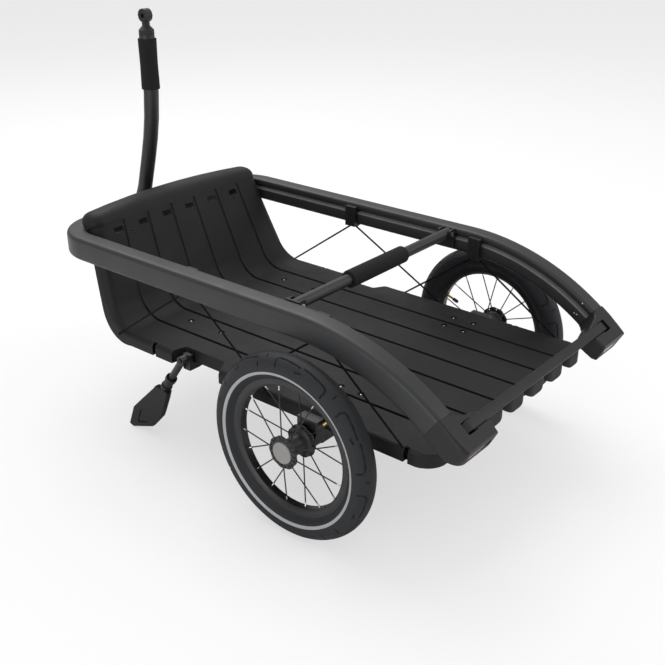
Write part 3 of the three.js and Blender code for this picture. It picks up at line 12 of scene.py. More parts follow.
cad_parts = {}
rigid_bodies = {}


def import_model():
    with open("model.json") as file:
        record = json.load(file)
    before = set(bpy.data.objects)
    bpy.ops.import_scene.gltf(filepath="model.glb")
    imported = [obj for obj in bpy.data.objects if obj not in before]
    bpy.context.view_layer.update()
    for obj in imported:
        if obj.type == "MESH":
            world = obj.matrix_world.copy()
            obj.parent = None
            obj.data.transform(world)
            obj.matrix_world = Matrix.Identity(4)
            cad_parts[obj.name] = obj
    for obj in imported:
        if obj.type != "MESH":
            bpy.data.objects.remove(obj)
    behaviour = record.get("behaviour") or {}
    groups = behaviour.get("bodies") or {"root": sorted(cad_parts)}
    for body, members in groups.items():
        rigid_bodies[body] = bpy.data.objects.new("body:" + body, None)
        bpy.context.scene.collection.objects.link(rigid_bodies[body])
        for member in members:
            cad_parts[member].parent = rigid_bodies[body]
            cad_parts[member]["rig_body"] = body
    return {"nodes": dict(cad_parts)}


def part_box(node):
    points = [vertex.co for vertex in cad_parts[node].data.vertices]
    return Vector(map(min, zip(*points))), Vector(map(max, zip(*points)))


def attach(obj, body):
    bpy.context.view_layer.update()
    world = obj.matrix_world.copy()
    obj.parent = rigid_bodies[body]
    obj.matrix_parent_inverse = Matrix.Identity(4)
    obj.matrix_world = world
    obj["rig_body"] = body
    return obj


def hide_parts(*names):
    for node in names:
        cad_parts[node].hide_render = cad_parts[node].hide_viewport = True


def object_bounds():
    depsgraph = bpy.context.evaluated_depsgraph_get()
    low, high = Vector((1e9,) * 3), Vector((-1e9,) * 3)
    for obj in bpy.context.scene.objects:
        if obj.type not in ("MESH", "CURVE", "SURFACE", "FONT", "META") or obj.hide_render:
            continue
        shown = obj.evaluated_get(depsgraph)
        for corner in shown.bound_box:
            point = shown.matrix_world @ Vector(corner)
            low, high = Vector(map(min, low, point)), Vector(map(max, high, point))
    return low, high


bl_info = {
    "name": "Cargo bike trailer",
    "version": (1, 0, 0),
    "blender": (4, 5, 0),
    "location": "View3D > Sidebar > Trailer",
    "description": "Builds a cargo bike trailer piece by piece on its packed frame",
    "category": "Add Mesh",
}

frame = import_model()
packed_box = [list(corner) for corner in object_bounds()]

MM = 0.001
SIDES = (("left", -1), ("right", 1))


def box_centre(node):
    """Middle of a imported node's box."""
    low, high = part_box(node)
    return (low + high) / 2


RIM_CENTRE = box_centre("rim_left")
AXLE_X = RIM_CENTRE.x
WHEEL_Y = abs(RIM_CENTRE.y)
WHEEL_Z = RIM_CENTRE.z


def spot(x, y, z):
    """Place in the row frame from millimetres behind the axle, to the right and above the ground."""
    return Vector((AXLE_X + x * MM, y * MM, z * MM))


# Sizes and colours


def length_of(name, description, default):
    return FloatProperty(name=name, description=description, default=default, unit="LENGTH", precision=4)


def angle_of(name, description, degrees):
    return FloatProperty(name=name, description=description, default=math.radians(degrees), subtype="ANGLE")


def count_of(name, description, default):
    return IntProperty(name=name, description=description, default=default, min=1)


def colour_of(name, description, default):
    return FloatVectorProperty(
        name=name, description=description, default=default, subtype="COLOR", min=0, max=1)


class TrailerWheelSizes(bpy.types.PropertyGroup):
    """Sizes of the wheels."""

    tyre_radius: length_of("Tyre radius", "From the axle to the tread", 0.203)
    section_radius: length_of("Tyre section", "Radius of the tyre's round section", 0.0269)
    rim_radius: length_of("Rim radius", "Outer radius of the rim's flanges", 0.155)
    rim_half_width: length_of("Rim half width", "Half of the rim's width over the flanges", 0.0135)
    band_radius: length_of("Band radius", "Middle radius of the reflective band", 0.1666)
    band_width: length_of("Band width", "Width of the reflective band", 0.0062)
    hub_radius: length_of("Hub flange radius", "Radius of the two hub flanges", 0.036)
    button_radius: length_of("Button radius", "Radius of the grey release button", 0.0235)
    spoke_radius: length_of("Spoke radius", "Radius of one spoke", 0.0014)
    spokes_per_flange: count_of("Spokes per flange", "Spokes on each of the two hub flanges", 9)
    spoke_turn: angle_of("Spoke turn", "Where the first outer spoke stands", 23)
    tread_cells: count_of("Tread cells", "Pairs of hooked grooves round one side of the tread", 7)
    groove_width: length_of("Groove width", "Half width of a tread groove", 0.0020)
    groove_depth: length_of("Groove depth", "Depth of a tread groove", 0.0028)


class TrailerRailSizes(bpy.types.PropertyGroup):
    """Sizes of the top rail."""

    half_width: length_of("Half width", "Half of the rail's width", 0.022)
    half_height: length_of("Half height", "Half of the rail's height", 0.028)
    corner: length_of("Corner radius", "Radius of the rail's long edges", 0.009)
    centre_y: length_of("Rail offset", "From the middle of the trailer to the rail", 0.308)
    centre_z: length_of("Rail height", "From the ground to the rail's middle", 0.441)
    bend_radius: length_of("Front bend", "Radius of the two front bends", 0.1)
    drop_radius: length_of("Rear drop radius", "Radius of the rail's rear drop", 0.558)
    drop_angle: angle_of("Rear drop angle", "How steeply the rail ends", 36)
    slot_depth: length_of("Slot depth", "Depth of the slot along the inner side", 0.011)


class TrailerTraySizes(bpy.types.PropertyGroup):
    """Sizes of the load tray."""

    wall: length_of("Wall", "Thickness of the moulding", 0.004)
    plank_pitch: length_of("Plank pitch", "From one sunk groove to the next", 0.086)
    plank_count: count_of("Planks", "Planks across the tray", 7)
    groove_width: length_of("Groove width", "Width of a sunk groove", 0.008)
    groove_depth: length_of("Groove depth", "Depth of a sunk groove", 0.0065)


class TrailerRodSizes(bpy.types.PropertyGroup):
    """Sizes of the handle, the cords and their loops."""

    handle_radius: length_of("Handle radius", "Radius of the cross handle's tube", 0.0125)
    grip_radius: length_of("Grip radius", "Radius of the foam grip", 0.0195)
    cord_radius: length_of("Cord radius", "Radius of the lacing cord", 0.0022)
    loop_radius: length_of("Loop wire", "Radius of the cord loop's wire", 0.0016)


class TrailerFinishes(bpy.types.PropertyGroup):
    """Colours of the trailer."""

    rail: colour_of("Rail", "Powder coat of the rail and tubes", (0.0165, 0.017, 0.0185))
    tray: colour_of("Tray", "Grained plastic of the tray", (0.0060, 0.0060, 0.0057))
    cap: colour_of("Caps", "Satin plastic of caps, clips and brackets", (0.0105, 0.0108, 0.0115))
    foam: colour_of("Foam", "Foam of the grips", (0.012, 0.012, 0.013))
    tyre: colour_of("Tyre", "Rubber of the tyres", (0.0135, 0.0142, 0.0170))
    frame: colour_of("Frame", "Paint of the underframe and rims", (0.009, 0.009, 0.0095))
    hub: colour_of("Hub", "Coating of the hubs", (0.022, 0.023, 0.024))
    button: colour_of("Button", "Plastic of the release buttons", (0.25, 0.245, 0.235))
    steel: colour_of("Steel", "Pins, nipples and screws", (0.62, 0.62, 0.61))
    band: colour_of("Band", "Reflective band on the tyres", (0.36, 0.365, 0.375))
    brass: colour_of("Brass", "Valve stems", (0.52, 0.36, 0.10))
    reflector: colour_of("Reflector", "Rear reflectors", (0.17, 0.018, 0.02))
    cord: colour_of("Cord", "Braid of the lacing cords", (0.005, 0.005, 0.005))
    # Light colour of the strip on the slot's ledge: a painted highlight where the ledge catches the light.
    highlight_strip: colour_of("Slot highlight", "Painted highlight on the ledge in the rail's slot", (0.22, 0.212, 0.195))
    floor: colour_of("Floor", "Studio floor", (0.86, 0.86, 0.86))


class TrailerStageSizes(bpy.types.PropertyGroup):
    """Camera and studio."""

    lens: FloatProperty(name="Lens", description="Focal length in millimetres", default=52.83, unit="CAMERA")
    floor_size: length_of("Floor size", "Half of the studio floor's side", 30)


def sizes(name):
    """The scene's settings of one group."""
    return getattr(bpy.context.scene, "trailer_" + name)


# Mesh building


def mesh_piece(name, points, faces):
    """Mesh with its faces turned out, kept at the origin."""
    mesh = bpy.data.meshes.new(name)
    mesh.from_pydata([tuple(p) for p in points], [], [tuple(f) for f in faces])
    cleaned(mesh)
    piece = bpy.data.objects.new(name, mesh)
    bpy.context.scene.collection.objects.link(piece)
    return piece


def cleaned(mesh, flatten=False):
    """Merges doubles, joins flat neighbours if asked, and turns the faces out."""
    work = bmesh.new()
    work.from_mesh(mesh)
    bmesh.ops.remove_doubles(work, verts=work.verts, dist=1e-6)
    if flatten:
        bmesh.ops.dissolve_limit(work, angle_limit=math.radians(0.5), verts=work.verts, edges=work.edges)
    bmesh.ops.recalc_face_normals(work, faces=work.faces)
    work.to_mesh(mesh)
    work.free()
    mesh.update()


def evaluated(piece):
    """Turns the piece's live modifiers into its mesh."""
    graph = bpy.context.evaluated_depsgraph_get()
    made = bpy.data.meshes.new_from_object(piece.evaluated_get(graph), depsgraph=graph)
    piece.modifiers.clear()
    piece.data = made
    return piece


def carved(piece, cutters, operation="DIFFERENCE"):
    """Booleans with each cutter in turn; the cutters are used up."""
    for cutter in cutters:
        step = piece.modifiers.new("Carve", "BOOLEAN")
        step.operation = operation
        step.solver = "MANIFOLD"
        step.object = cutter
    evaluated(piece)
    for cutter in cutters:
        bpy.data.objects.remove(cutter)
    return piece


def loft(name, rings, looped=False):
    """Solid through rings of equal point counts; looped when the last ring meets the first."""
    rings = [np.asarray(ring, float) for ring in rings]
    count, size = len(rings), len(rings[0])
    points = np.concatenate(rings)
    faces = []
    for r in range(count if looped else count - 1):
        a, b = r * size, ((r + 1) % count) * size
        faces += [(a + j, a + (j + 1) % size, b + (j + 1) % size, b + j) for j in range(size)]
    if not looped:
        faces += [tuple(range(size))[::-1], tuple(range((count - 1) * size, count * size))]
    return mesh_piece(name, points, faces)


def turned(name, profile, steps, centre, axis="Y"):
    """Closed profile of (radius, along) in metres, turned round an axis through centre."""
    rings = []
    for k in range(steps):
        angle = 2 * math.pi * k / steps
        cos, sin = math.cos(angle), math.sin(angle)
        if axis == "Y":
            rings.append([(r * cos, along, r * sin) for r, along in profile])
        else:
            rings.append([(r * cos, r * sin, along) for r, along in profile])
    moved = [np.asarray(ring) + np.asarray(centre) for ring in rings]
    return loft(name, moved, looped=True)


def rounded(corners, steps=6):
    """Outline with round corners from (x, y, radius)."""
    points = []
    for i, corner in enumerate(corners):
        here = Vector(corner[:2])
        radius = corner[2] if len(corner) > 2 else 0
        if not radius:
            points.append(tuple(here))
            continue
        back = Vector(corners[i - 1][:2]) - here
        ahead = Vector(corners[(i + 1) % len(corners)][:2]) - here
        half = back.angle(ahead) / 2
        reach = min(radius / math.tan(half), back.length * 0.49, ahead.length * 0.49)
        start, end = here + back.normalized() * reach, here + ahead.normalized() * reach
        middle = here + (back.normalized() + ahead.normalized()).normalized() * reach / math.cos(half)
        low, high = start - middle, end - middle
        turn = low.angle_signed(high)
        for k in range(steps + 1):
            bend = Matrix.Rotation(-turn * k / steps, 2)
            points.append(tuple(middle + bend @ low))
    return points


def inset(outline, amount):
    """Outline moved inwards by amount along its corners' bisectors."""
    pts = np.asarray(outline, float)
    ahead = np.roll(pts, -1, 0) - pts
    ahead /= np.linalg.norm(ahead, axis=1)[:, None] + 1e-12
    back = np.roll(ahead, 1, 0)
    area = np.sum(pts[:, 0] * np.roll(pts[:, 1], -1) - pts[:, 1] * np.roll(pts[:, 0], -1))
    sign = 1 if area > 0 else -1
    normal = sign * np.stack([-(ahead + back)[:, 1], (ahead + back)[:, 0]], 1)
    normal /= np.linalg.norm(normal, axis=1)[:, None] + 1e-12
    square = sign * np.stack([-ahead[:, 1], ahead[:, 0]], 1)
    stretch = np.clip((normal * square).sum(1), 0.5, 1)
    return pts + normal * (amount / stretch)[:, None]


def slab(name, outline, low, high, edge=0.0, steps=4, place=None):
    """Outline pushed from low to high with rounded edges; place turns (x, y, height) into a point."""
    levels = [(low, 0.0), (high, 0.0)]
    if edge:
        arcs = [math.pi / 2 * k / steps for k in range(steps + 1)]
        levels = [(low + edge * (1 - math.sin(a)), edge * (1 - math.cos(a))) for a in arcs[::-1]]
        levels += [(high - edge * (1 - math.sin(a)), edge * (1 - math.cos(a))) for a in arcs]
    rings = []
    for height, pull in levels:
        ring = inset(outline, pull) if pull else np.asarray(outline, float)
        rings.append([tuple(place(x, y, height)) if place else (x, y, height) for x, y in ring])
    return loft(name, rings)


def block(name, xs, ys, zs):
    """Plain box in the row frame, used to carve with."""
    outline = [(xs[0], ys[0]), (xs[1], ys[0]), (xs[1], ys[1]), (xs[0], ys[1])]
    return slab(name, outline, zs[0], zs[1])


def rod(name, start, end, radius, steps=24):
    """Round bar between two points."""
    return tube(name, [start, end], radius, steps)


def tube(name, path, radius, steps=24):
    """Round tube along points, its section carried along without twisting."""
    path = [Vector(p) for p in path]
    rings, side = [], None
    for i, point in enumerate(path):
        ahead = (path[min(i + 1, len(path) - 1)] - path[max(i - 1, 0)]).normalized()
        if side is None:
            side = ahead.orthogonal().normalized()
        side = (side - ahead * side.dot(ahead)).normalized()
        up = ahead.cross(side)
        angles = [2 * math.pi * k / steps for k in range(steps)]
        rings.append([point + (side * math.cos(a) + up * math.sin(a)) * radius for a in angles])
    return loft(name, rings)


def bent_path(points, radius, steps=8):
    """Points joined by straight runs, each corner eased over the radius."""
    points = [Vector(p) for p in points]
    path = [points[0]]
    for before, here, after in zip(points, points[1:], points[2:]):
        start = here + (before - here).normalized() * radius
        end = here + (after - here).normalized() * radius
        for k in range(steps + 1):
            t = k / steps
            path.append(start * (1 - t) ** 2 + here * 2 * t * (1 - t) + end * t ** 2)
    return path + [points[-1]]


def finished(piece, material, body, *nodes, slot=None, sharp=32, even=False):
    """Shading, material, body and the nodes that the piece stands for; even weighs normals by face size."""
    mesh = piece.data
    mesh.polygons.foreach_set("use_smooth", [True] * len(mesh.polygons))
    mesh.set_sharp_from_angle(angle=math.radians(sharp))
    mesh.materials.clear()
    mesh.materials.append(material)
    if even:
        step = piece.modifiers.new("Even", "WEIGHTED_NORMAL")
        step.keep_sharp = True
        step.weight = 90
        evaluated(piece)
    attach(piece, body)
    if nodes:
        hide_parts(*nodes)
    return piece


def dressed(node, material, slot=None, sharp=32):
    """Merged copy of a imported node, shaded smooth between its real edges."""
    source = frame["nodes"][node]
    piece = bpy.data.objects.new(node + "_shown", source.data.copy())
    bpy.context.scene.collection.objects.link(piece)
    if piece.data.has_custom_normals:
        piece.data.attributes.remove(piece.data.attributes["custom_normal"])
    cleaned(piece.data, flatten=True)
    return finished(piece, material, source["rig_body"], node, slot=slot, sharp=sharp)


# Finishes


def shaded(colour, factor):
    """Colour made lighter or darker, with its alpha."""
    return (*(min(1.0, channel * factor) for channel in colour), 1.0)


def finish_nodes(name):
    """New material with its nodes, links and shader."""
    material = bpy.data.materials.new(name)
    material.use_nodes = True
    nodes = material.node_tree.nodes
    return material, nodes, material.node_tree.links, nodes["Principled BSDF"]


def surface(name, colour, roughness, grain=900, depth=0.0002, stretch=(1, 1, 1), mottle=0.18, **sockets):
    """Finish with a fine grain, a soft mottle in colour and gloss, and edges that catch the light."""
    material, nodes, links, shader = finish_nodes(name)
    edge = sockets.pop("edge", 0.0006)
    for socket, value in sockets.items():
        shader.inputs[socket.replace("_", " ").title().replace("Ior", "IOR")].default_value = value
    coordinates = nodes.new("ShaderNodeTexCoord")
    place = nodes.new("ShaderNodeMapping")
    place.inputs["Scale"].default_value = stretch
    links.new(coordinates.outputs["Object"], place.inputs["Vector"])
    fine = nodes.new("ShaderNodeTexNoise")
    fine.inputs["Scale"].default_value = grain
    fine.inputs["Detail"].default_value = 3
    links.new(place.outputs["Vector"], fine.inputs["Vector"])
    broad = nodes.new("ShaderNodeTexNoise")
    broad.inputs["Scale"].default_value = 14
    broad.inputs["Detail"].default_value = 5
    links.new(coordinates.outputs["Object"], broad.inputs["Vector"])
    both = nodes.new("ShaderNodeMath")
    both.operation = "MULTIPLY_ADD"
    both.inputs[1].default_value = 0.45
    links.new(fine.outputs["Fac"], both.inputs[0])
    links.new(broad.outputs["Fac"], both.inputs[2])
    tint = nodes.new("ShaderNodeValToRGB")
    tint.color_ramp.elements[0].position = 0.45
    tint.color_ramp.elements[0].color = shaded(colour, 1 - mottle)
    tint.color_ramp.elements[1].position = 1.0
    tint.color_ramp.elements[1].color = shaded(colour, 1 + mottle)
    links.new(both.outputs["Value"], tint.inputs["Fac"])
    links.new(tint.outputs["Color"], shader.inputs["Base Color"])
    gloss = nodes.new("ShaderNodeMapRange")
    gloss.inputs["From Min"].default_value = 0.35
    gloss.inputs["From Max"].default_value = 0.65
    gloss.inputs["To Min"].default_value = max(0.02, roughness - 0.04)
    gloss.inputs["To Max"].default_value = min(1.0, roughness + 0.04)
    links.new(broad.outputs["Fac"], gloss.inputs["Value"])
    links.new(gloss.outputs["Result"], shader.inputs["Roughness"])
    bump = nodes.new("ShaderNodeBump")
    bump.inputs["Strength"].default_value = 0.6
    bump.inputs["Distance"].default_value = depth
    links.new(fine.outputs["Fac"], bump.inputs["Height"])
    if edge:
        rounding = nodes.new("ShaderNodeBevel")
        rounding.samples = 4
        rounding.inputs["Radius"].default_value = edge
        links.new(rounding.outputs["Normal"], bump.inputs["Normal"])
    links.new(bump.outputs["Normal"], shader.inputs["Normal"])
    return material


def make_finishes():
    c = sizes("finishes")
    return {
        "powder_coat": surface(
            "satin_powder_coat", c.rail, 0.46, 1500, 0.00012, mottle=0.10, edge=0.0009),
        "tray_plastic": surface(
            "grained_tray_plastic", c.tray, 0.6, 700, 0.0003, (0.16, 1, 1),
            edge=0.0012, specular_ior_level=0.3),
        "cap_plastic": surface(
            "satin_cap_plastic", c.cap, 0.46, 1100, 0.00015, edge=0.0008, specular_ior_level=0.35),
        "foam": surface(
            "foam_rubber", c.foam, 0.88, 650, 0.0005, mottle=0.25, edge=0.002, specular_ior_level=0.25),
        "tyre_rubber": surface(
            "tyre_rubber", c.tyre, 0.62, 800, 0.00018, mottle=0.16, edge=0.0004, specular_ior_level=0.35),
        "foot_rubber": surface(
            "foot_rubber", c.foam, 0.6, 500, 0.0002, edge=0.0016, specular_ior_level=0.3),
        "frame_paint": surface("satin_frame_paint", c.frame, 0.42, 1300, 0.00012, edge=0.0008),
        "rim_paint": surface("satin_rim_paint", c.frame, 0.38, 1500, 0.0001, mottle=0.10, edge=0.0004),
        "hub_metal": surface("anodised_hub", c.hub, 0.4, 1500, 0.0001, metallic=0.3, edge=0.0005),
        "button_plastic": surface(
            "grey_button_plastic", c.button, 0.5, 900, 0.0002, mottle=0.08, edge=0.0008),
        "bright_steel": surface(
            "bright_steel", c.steel, 0.25, 900, 0.00005, (1, 1, 6), 0.06, metallic=1.0, edge=0.0004),
        "dark_steel": surface(
            "dark_steel", c.hub, 0.34, 1200, 0.00005, mottle=0.06, metallic=0.7, edge=0.0003),
        "band": surface("reflective_film", c.band, 0.38, 2400, 0.0001, mottle=0.05, metallic=0.15, edge=0),
        "valve_brass": surface(
            "bright_brass", c.brass, 0.28, 1500, 0.00005, mottle=0.08, metallic=1.0, edge=0.0003),
        "reflector": reflector_finish(c.reflector),
        # Painted highlight along the ledge inside the rail's slot.
        "slot_highlight": surface("bare_slot_lining", c.highlight_strip, 0.5, 1200, 0.0001, edge=0),
        "cord": surface(
            "cord_braid", c.cord, 0.85, 1600, 0.0004, mottle=0.3, edge=0, specular_ior_level=0.15),
    }


def reflector_finish(colour):
    """Clear red plastic over a grid of small cells."""
    material, nodes, links, shader = finish_nodes("red_reflector")
    shader.inputs["Roughness"].default_value = 0.12
    shader.inputs["Coat Weight"].default_value = 0.6
    coordinates = nodes.new("ShaderNodeTexCoord")
    cells = nodes.new("ShaderNodeTexVoronoi")
    cells.inputs["Scale"].default_value = 420
    cells.inputs["Randomness"].default_value = 0.1
    links.new(coordinates.outputs["Object"], cells.inputs["Vector"])
    tint = nodes.new("ShaderNodeValToRGB")
    tint.color_ramp.elements[0].color = shaded(colour, 1.5)
    tint.color_ramp.elements[1].color = shaded(colour, 0.6)
    links.new(cells.outputs["Distance"], tint.inputs["Fac"])
    links.new(tint.outputs["Color"], shader.inputs["Base Color"])
    bump = nodes.new("ShaderNodeBump")
    bump.inputs["Strength"].default_value = 0.4
    bump.inputs["Distance"].default_value = 0.0003
    links.new(cells.outputs["Distance"], bump.inputs["Height"])
    links.new(bump.outputs["Normal"], shader.inputs["Normal"])
    return material


FINISHES = {}


def finish_of(name):
    """Material of a finish; the first call makes them all."""
    if not FINISHES:
        FINISHES.update(make_finishes())
    return FINISHES[name]


# Wheels


# Metres from the middle of the tread round its section: the end of the fine mesh, and the moulded line.
TREAD_REACH = 0.043
LINE_AT = 0.031
LINE_SPREAD = 0.0012
LINE_RISE = 0.00025

# Metres in from the rim's outer radius: the rim's inner face, and the tyre's foot inside the rim.
RIM_DEPTH = 0.021
FOOT_DEPTH = 0.0077


def hook_line(start, end, turn_back, reach, steps=6):
    """One hooked groove of the tread: a run along the tyre that turns down towards the side wall."""
    (s0, c0), (s1, c1) = start, end
    line = [(s0 + (s1 - s0) * k / steps, c0 + (c1 - c0) * k / steps) for k in range(steps + 1)]
    sign = 1 if s1 > s0 else -1
    for k in range(1, steps + 1):
        angle = math.pi / 2 * k / steps
        line.append((s1 + sign * turn_back * math.sin(angle), c1 + turn_back * (1 - math.cos(angle))))
    line.append((s1 + sign * (turn_back - 0.001), c1 + turn_back + reach))
    return line


def distance_to_line(points, line):
    """How far each point lies from the nearest stretch of the line, up to a metre."""
    best = np.full(len(points), 1.0)
    for a, b in zip(line, line[1:]):
        a, b = np.asarray(a), np.asarray(b)
        run = b - a
        share = np.clip(((points - a) @ run) / (run @ run), 0, 1)
        gap = np.linalg.norm(points - a - share[:, None] * run, axis=1)
        best = np.minimum(best, gap)
    return best


def tyre_points(w, side):
    """Fine tyre section turned round the axle, with hooked grooves pressed into both shoulders."""
    centre_radius = w.tyre_radius - w.section_radius
    foot = w.rim_radius + 0.0003
    low = math.asin((foot - centre_radius) / w.section_radius)
    around = 120 * w.tread_cells
    bead = w.rim_half_width - 0.0023
    tread = TREAD_REACH / w.section_radius
    side_wall = np.linspace(low, math.pi / 2 - tread, 12)
    arc = np.concatenate([side_wall[:-1], np.linspace(math.pi / 2 - tread, math.pi / 2 + tread, 79),
                          math.pi - side_wall[-2::-1]])
    steps = len(arc) - 1
    cell = 2 * math.pi * w.tyre_radius / w.tread_cells
    columns = around // w.tread_cells
    along = np.arange(columns) * cell / columns
    across = (math.pi / 2 - arc) * w.section_radius
    grid = np.stack(np.meshgrid(along, across, indexing="ij"), -1).reshape(-1, 2)
    depth = np.zeros(len(grid))
    for flip, shift in ((1, 0.0), (-1, cell / 2)):
        local = np.stack([(grid[:, 0] + shift) % cell, grid[:, 1] * flip], 1)
        lines = [
            hook_line((0.088, 0.0140), (0.036, 0.0165), 0.010, 0.010),
            hook_line((0.098, 0.0165), (0.148, 0.0140), 0.010, 0.010),
            [(0.006, 0.010), (0.006, 0.0175)],
            [(0.092, 0.027), (0.104, 0.0295)],
        ]
        for line in lines:
            gap = distance_to_line(local, line)
            near = np.clip(1.7 * (1 - gap / w.groove_width), 0, 1)
            depth = np.maximum(depth, near * near * (3 - 2 * near))
    depth = np.tile(depth.reshape(columns, steps + 1), (w.tread_cells, 1)) * w.groove_depth
    wave = np.clip((np.abs(across) - LINE_AT) / LINE_SPREAD, -math.pi, math.pi)
    section = w.section_radius - depth + LINE_RISE * (1 + np.cos(wave))[None, :]
    radius = centre_radius + section * np.sin(arc)[None, :]
    offset = section * np.cos(arc)[None, :] * side
    rings = []
    for k in range(around):
        angle = 2 * math.pi * k / around
        r = np.concatenate([[w.rim_radius - FOOT_DEPTH], radius[k], [w.rim_radius - FOOT_DEPTH]])
        y = np.concatenate([[side * bead], offset[k], [-side * bead]])
        rings.append(np.stack([r * math.cos(angle), y, r * math.sin(angle)], 1))
    return rings


def wheel_place(side):
    """Middle of a wheel."""
    return np.array([AXLE_X, side * WHEEL_Y, WHEEL_Z])


class TRAILER_OT_tyres(bpy.types.Operator):
    """Tyres with their hooked tread, and the reflective band on each outer wall"""

    bl_idname = "trailer.tyres"
    bl_label = "Tyres and bands"

    def execute(self, context):
        w = sizes("wheels")
        centre_radius = w.tyre_radius - w.section_radius
        for tag, side in SIDES:
            rings = [ring + wheel_place(side) for ring in tyre_points(w, side)]
            tyre = loft(f"tyre_{tag}_tread", rings, looped=True)
            finished(tyre, finish_of("tyre_rubber"), f"{tag}_wheel", f"tyre_{tag}",
                     slot="tyre_rubber", sharp=50)
            profile = []
            for lift, order in ((0.00045, 1), (-0.0006, -1)):
                for k in range(7)[::order]:
                    r = w.band_radius + w.band_width * (k / 6 - 0.5)
                    out = math.sqrt(w.section_radius ** 2 - (r - centre_radius) ** 2)
                    profile.append((r, side * (out + lift)))
            band = turned(f"reflective_band_{tag}_film", profile, 192, wheel_place(side))
            finished(band, finish_of("band"), f"{tag}_wheel", f"reflective_band_{tag}", slot="band", sharp=60)
        return {"FINISHED"}


def rim_profile(w, side):
    """Closed section of the rim as (radius, across)."""
    inner, outer, half = w.rim_radius - RIM_DEPTH, w.rim_radius, w.rim_half_width
    corners = [
        (inner, 0.0085 * side, 0.002),
        (inner + 0.004, 0.0115 * side, 0.003),
        (inner + 0.0085, half * side, 0.002),
        (outer - 0.0005, half * side, 0.001),
        (outer, (half - 0.001) * side, 0.0008),
        (outer, (half - 0.002) * side),
        (inner + 0.013, (half - 0.002) * side),
    ]
    mirrored = [(r, -y, *rest) for r, y, *rest in corners[::-1]]
    return rounded(corners + mirrored, 4)


def scalloped(radius, dip, count, phase, steps=180):
    """Round outline with shallow hollows between the spoke eyes."""
    outline = []
    for k in range(steps):
        angle = 2 * math.pi * k / steps
        wave = (1 - math.cos(count * (angle - phase))) / 2
        r = radius - dip * wave ** 2
        outline.append((r * math.cos(angle), r * math.sin(angle)))
    return outline


class TRAILER_OT_wheels(bpy.types.Operator):
    """Rims, hubs, spokes with their nipples, valves, bearings and release buttons"""

    bl_idname = "trailer.wheels"
    bl_label = "Rims, hubs and spokes"

    def execute(self, context):
        w = sizes("wheels")
        for tag, side in SIDES:
            place = wheel_place(side)
            body = f"{tag}_wheel"
            rim = turned(f"rim_{tag}_hoop", rim_profile(w, side), 160, place)
            finished(rim, finish_of("rim_paint"), body, f"rim_{tag}", slot="rim_paint", sharp=40)
            hub_of(w, tag, side, place)
            spokes_of(w, tag, side, place)
            self.button(w, tag, side, place)
            for part in ("outer", "inner"):
                dressed(f"hub_bearing_{part}_{tag}", finish_of("bright_steel"), "bright_steel")
            dressed(f"wheel_axle_{tag}", finish_of("bright_steel"), "bright_steel")
            valve_of(tag, side)
        return {"FINISHED"}

    def button(self, w, tag, side, place):
        """Release button: a dished cap on its rod inside the axle."""
        low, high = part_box(f"release_button_{tag}")
        face = max(abs(low.y), abs(high.y)) - WHEEL_Y
        inner = min(abs(low.y), abs(high.y)) - WHEEL_Y
        back = face - 0.005
        profile = [
            (0.0, face - 0.0006),
            (0.012, face - 0.0006),
            (0.0195, face - 0.0002),
            (0.0215, face),
            (w.button_radius - 0.0007, face - 0.0004),
            (w.button_radius, face - 0.0014),
            (w.button_radius, back),
            (0.0044, back),
            (0.0044, inner),
            (0.0, inner),
        ]
        button = turned(f"release_button_{tag}_cap", [(r, side * y) for r, y in profile], 72, place)
        finished(button, finish_of("button_plastic"), f"{tag}_button", f"release_button_{tag}",
                 slot="button_plastic")


# Metres: the spoke eyes' circle, the flanges' place along the axle, and the hub's bores.
EYE_CIRCLE = 0.031
FLANGE_AT = 0.028
AXLE_BORE = 0.0153
CUP_FLOOR = 0.0245


def hub_of(w, tag, side, place):
    """Hub: scalloped flanges on a waisted barrel, with a cup for the button and drilled flanges."""
    cup = w.button_radius + 0.0009
    barrel = [
        (cup, 0.0305),
        (0.0325, 0.0305),
        (0.0325, 0.0255),
        (0.0265, 0.0255),
        (0.0255, 0.0200),
        (0.0205, 0.0150),
        (0.0195, 0.0),
        (0.0205, -0.0170),
        (0.0245, -0.0225),
        (0.0325, -0.0255),
        (0.0325, -0.0305),
        (0.0183, -0.0305),
        (0.0183, -0.0379),
        (AXLE_BORE, -0.0379),
        (AXLE_BORE, CUP_FLOOR),
        (cup, CUP_FLOOR),
    ]
    hub = turned(f"hub_{tag}_body", [(r, side * y) for r, y in barrel], 96, place)
    step = 2 * math.pi / w.spokes_per_flange
    for along, phase in ((FLANGE_AT, w.spoke_turn), (-FLANGE_AT, w.spoke_turn + step / 2)):
        low, high = sorted((side * (along - 0.0025), side * (along + 0.0025)))
        outline = scalloped(w.hub_radius, 0.0016, w.spokes_per_flange, phase)
        flange = slab("flange", outline, low, high, 0.0008, 3, lambda x, y, h: place + np.array([x, h, y]))
        carved(hub, [flange], "UNION")
    drills = []
    for k in range(w.spokes_per_flange):
        angle = w.spoke_turn + step * (k + 0.5)
        eye = place + np.array([EYE_CIRCLE * math.cos(angle), side * FLANGE_AT, EYE_CIRCLE * math.sin(angle)])
        reach = np.array([0, 0.006, 0])
        drills.append(rod("drill", eye - reach, eye + reach, 0.0026, 20))
    bore = turned("bore", [(0.0, -0.1), (AXLE_BORE, -0.1), (AXLE_BORE, 0.1), (0.0, 0.1)], 48, place)
    room = [(0.0, side * CUP_FLOOR), (cup, side * CUP_FLOOR), (cup, side * 0.06), (0.0, side * 0.06)]
    carved(hub, [joined_mesh("drills", drills), bore, turned("room", room, 72, place)])
    return finished(hub, finish_of("hub_metal"), f"{tag}_wheel", f"wheel_hub_{tag}",
                    slot="hub_metal", sharp=35)


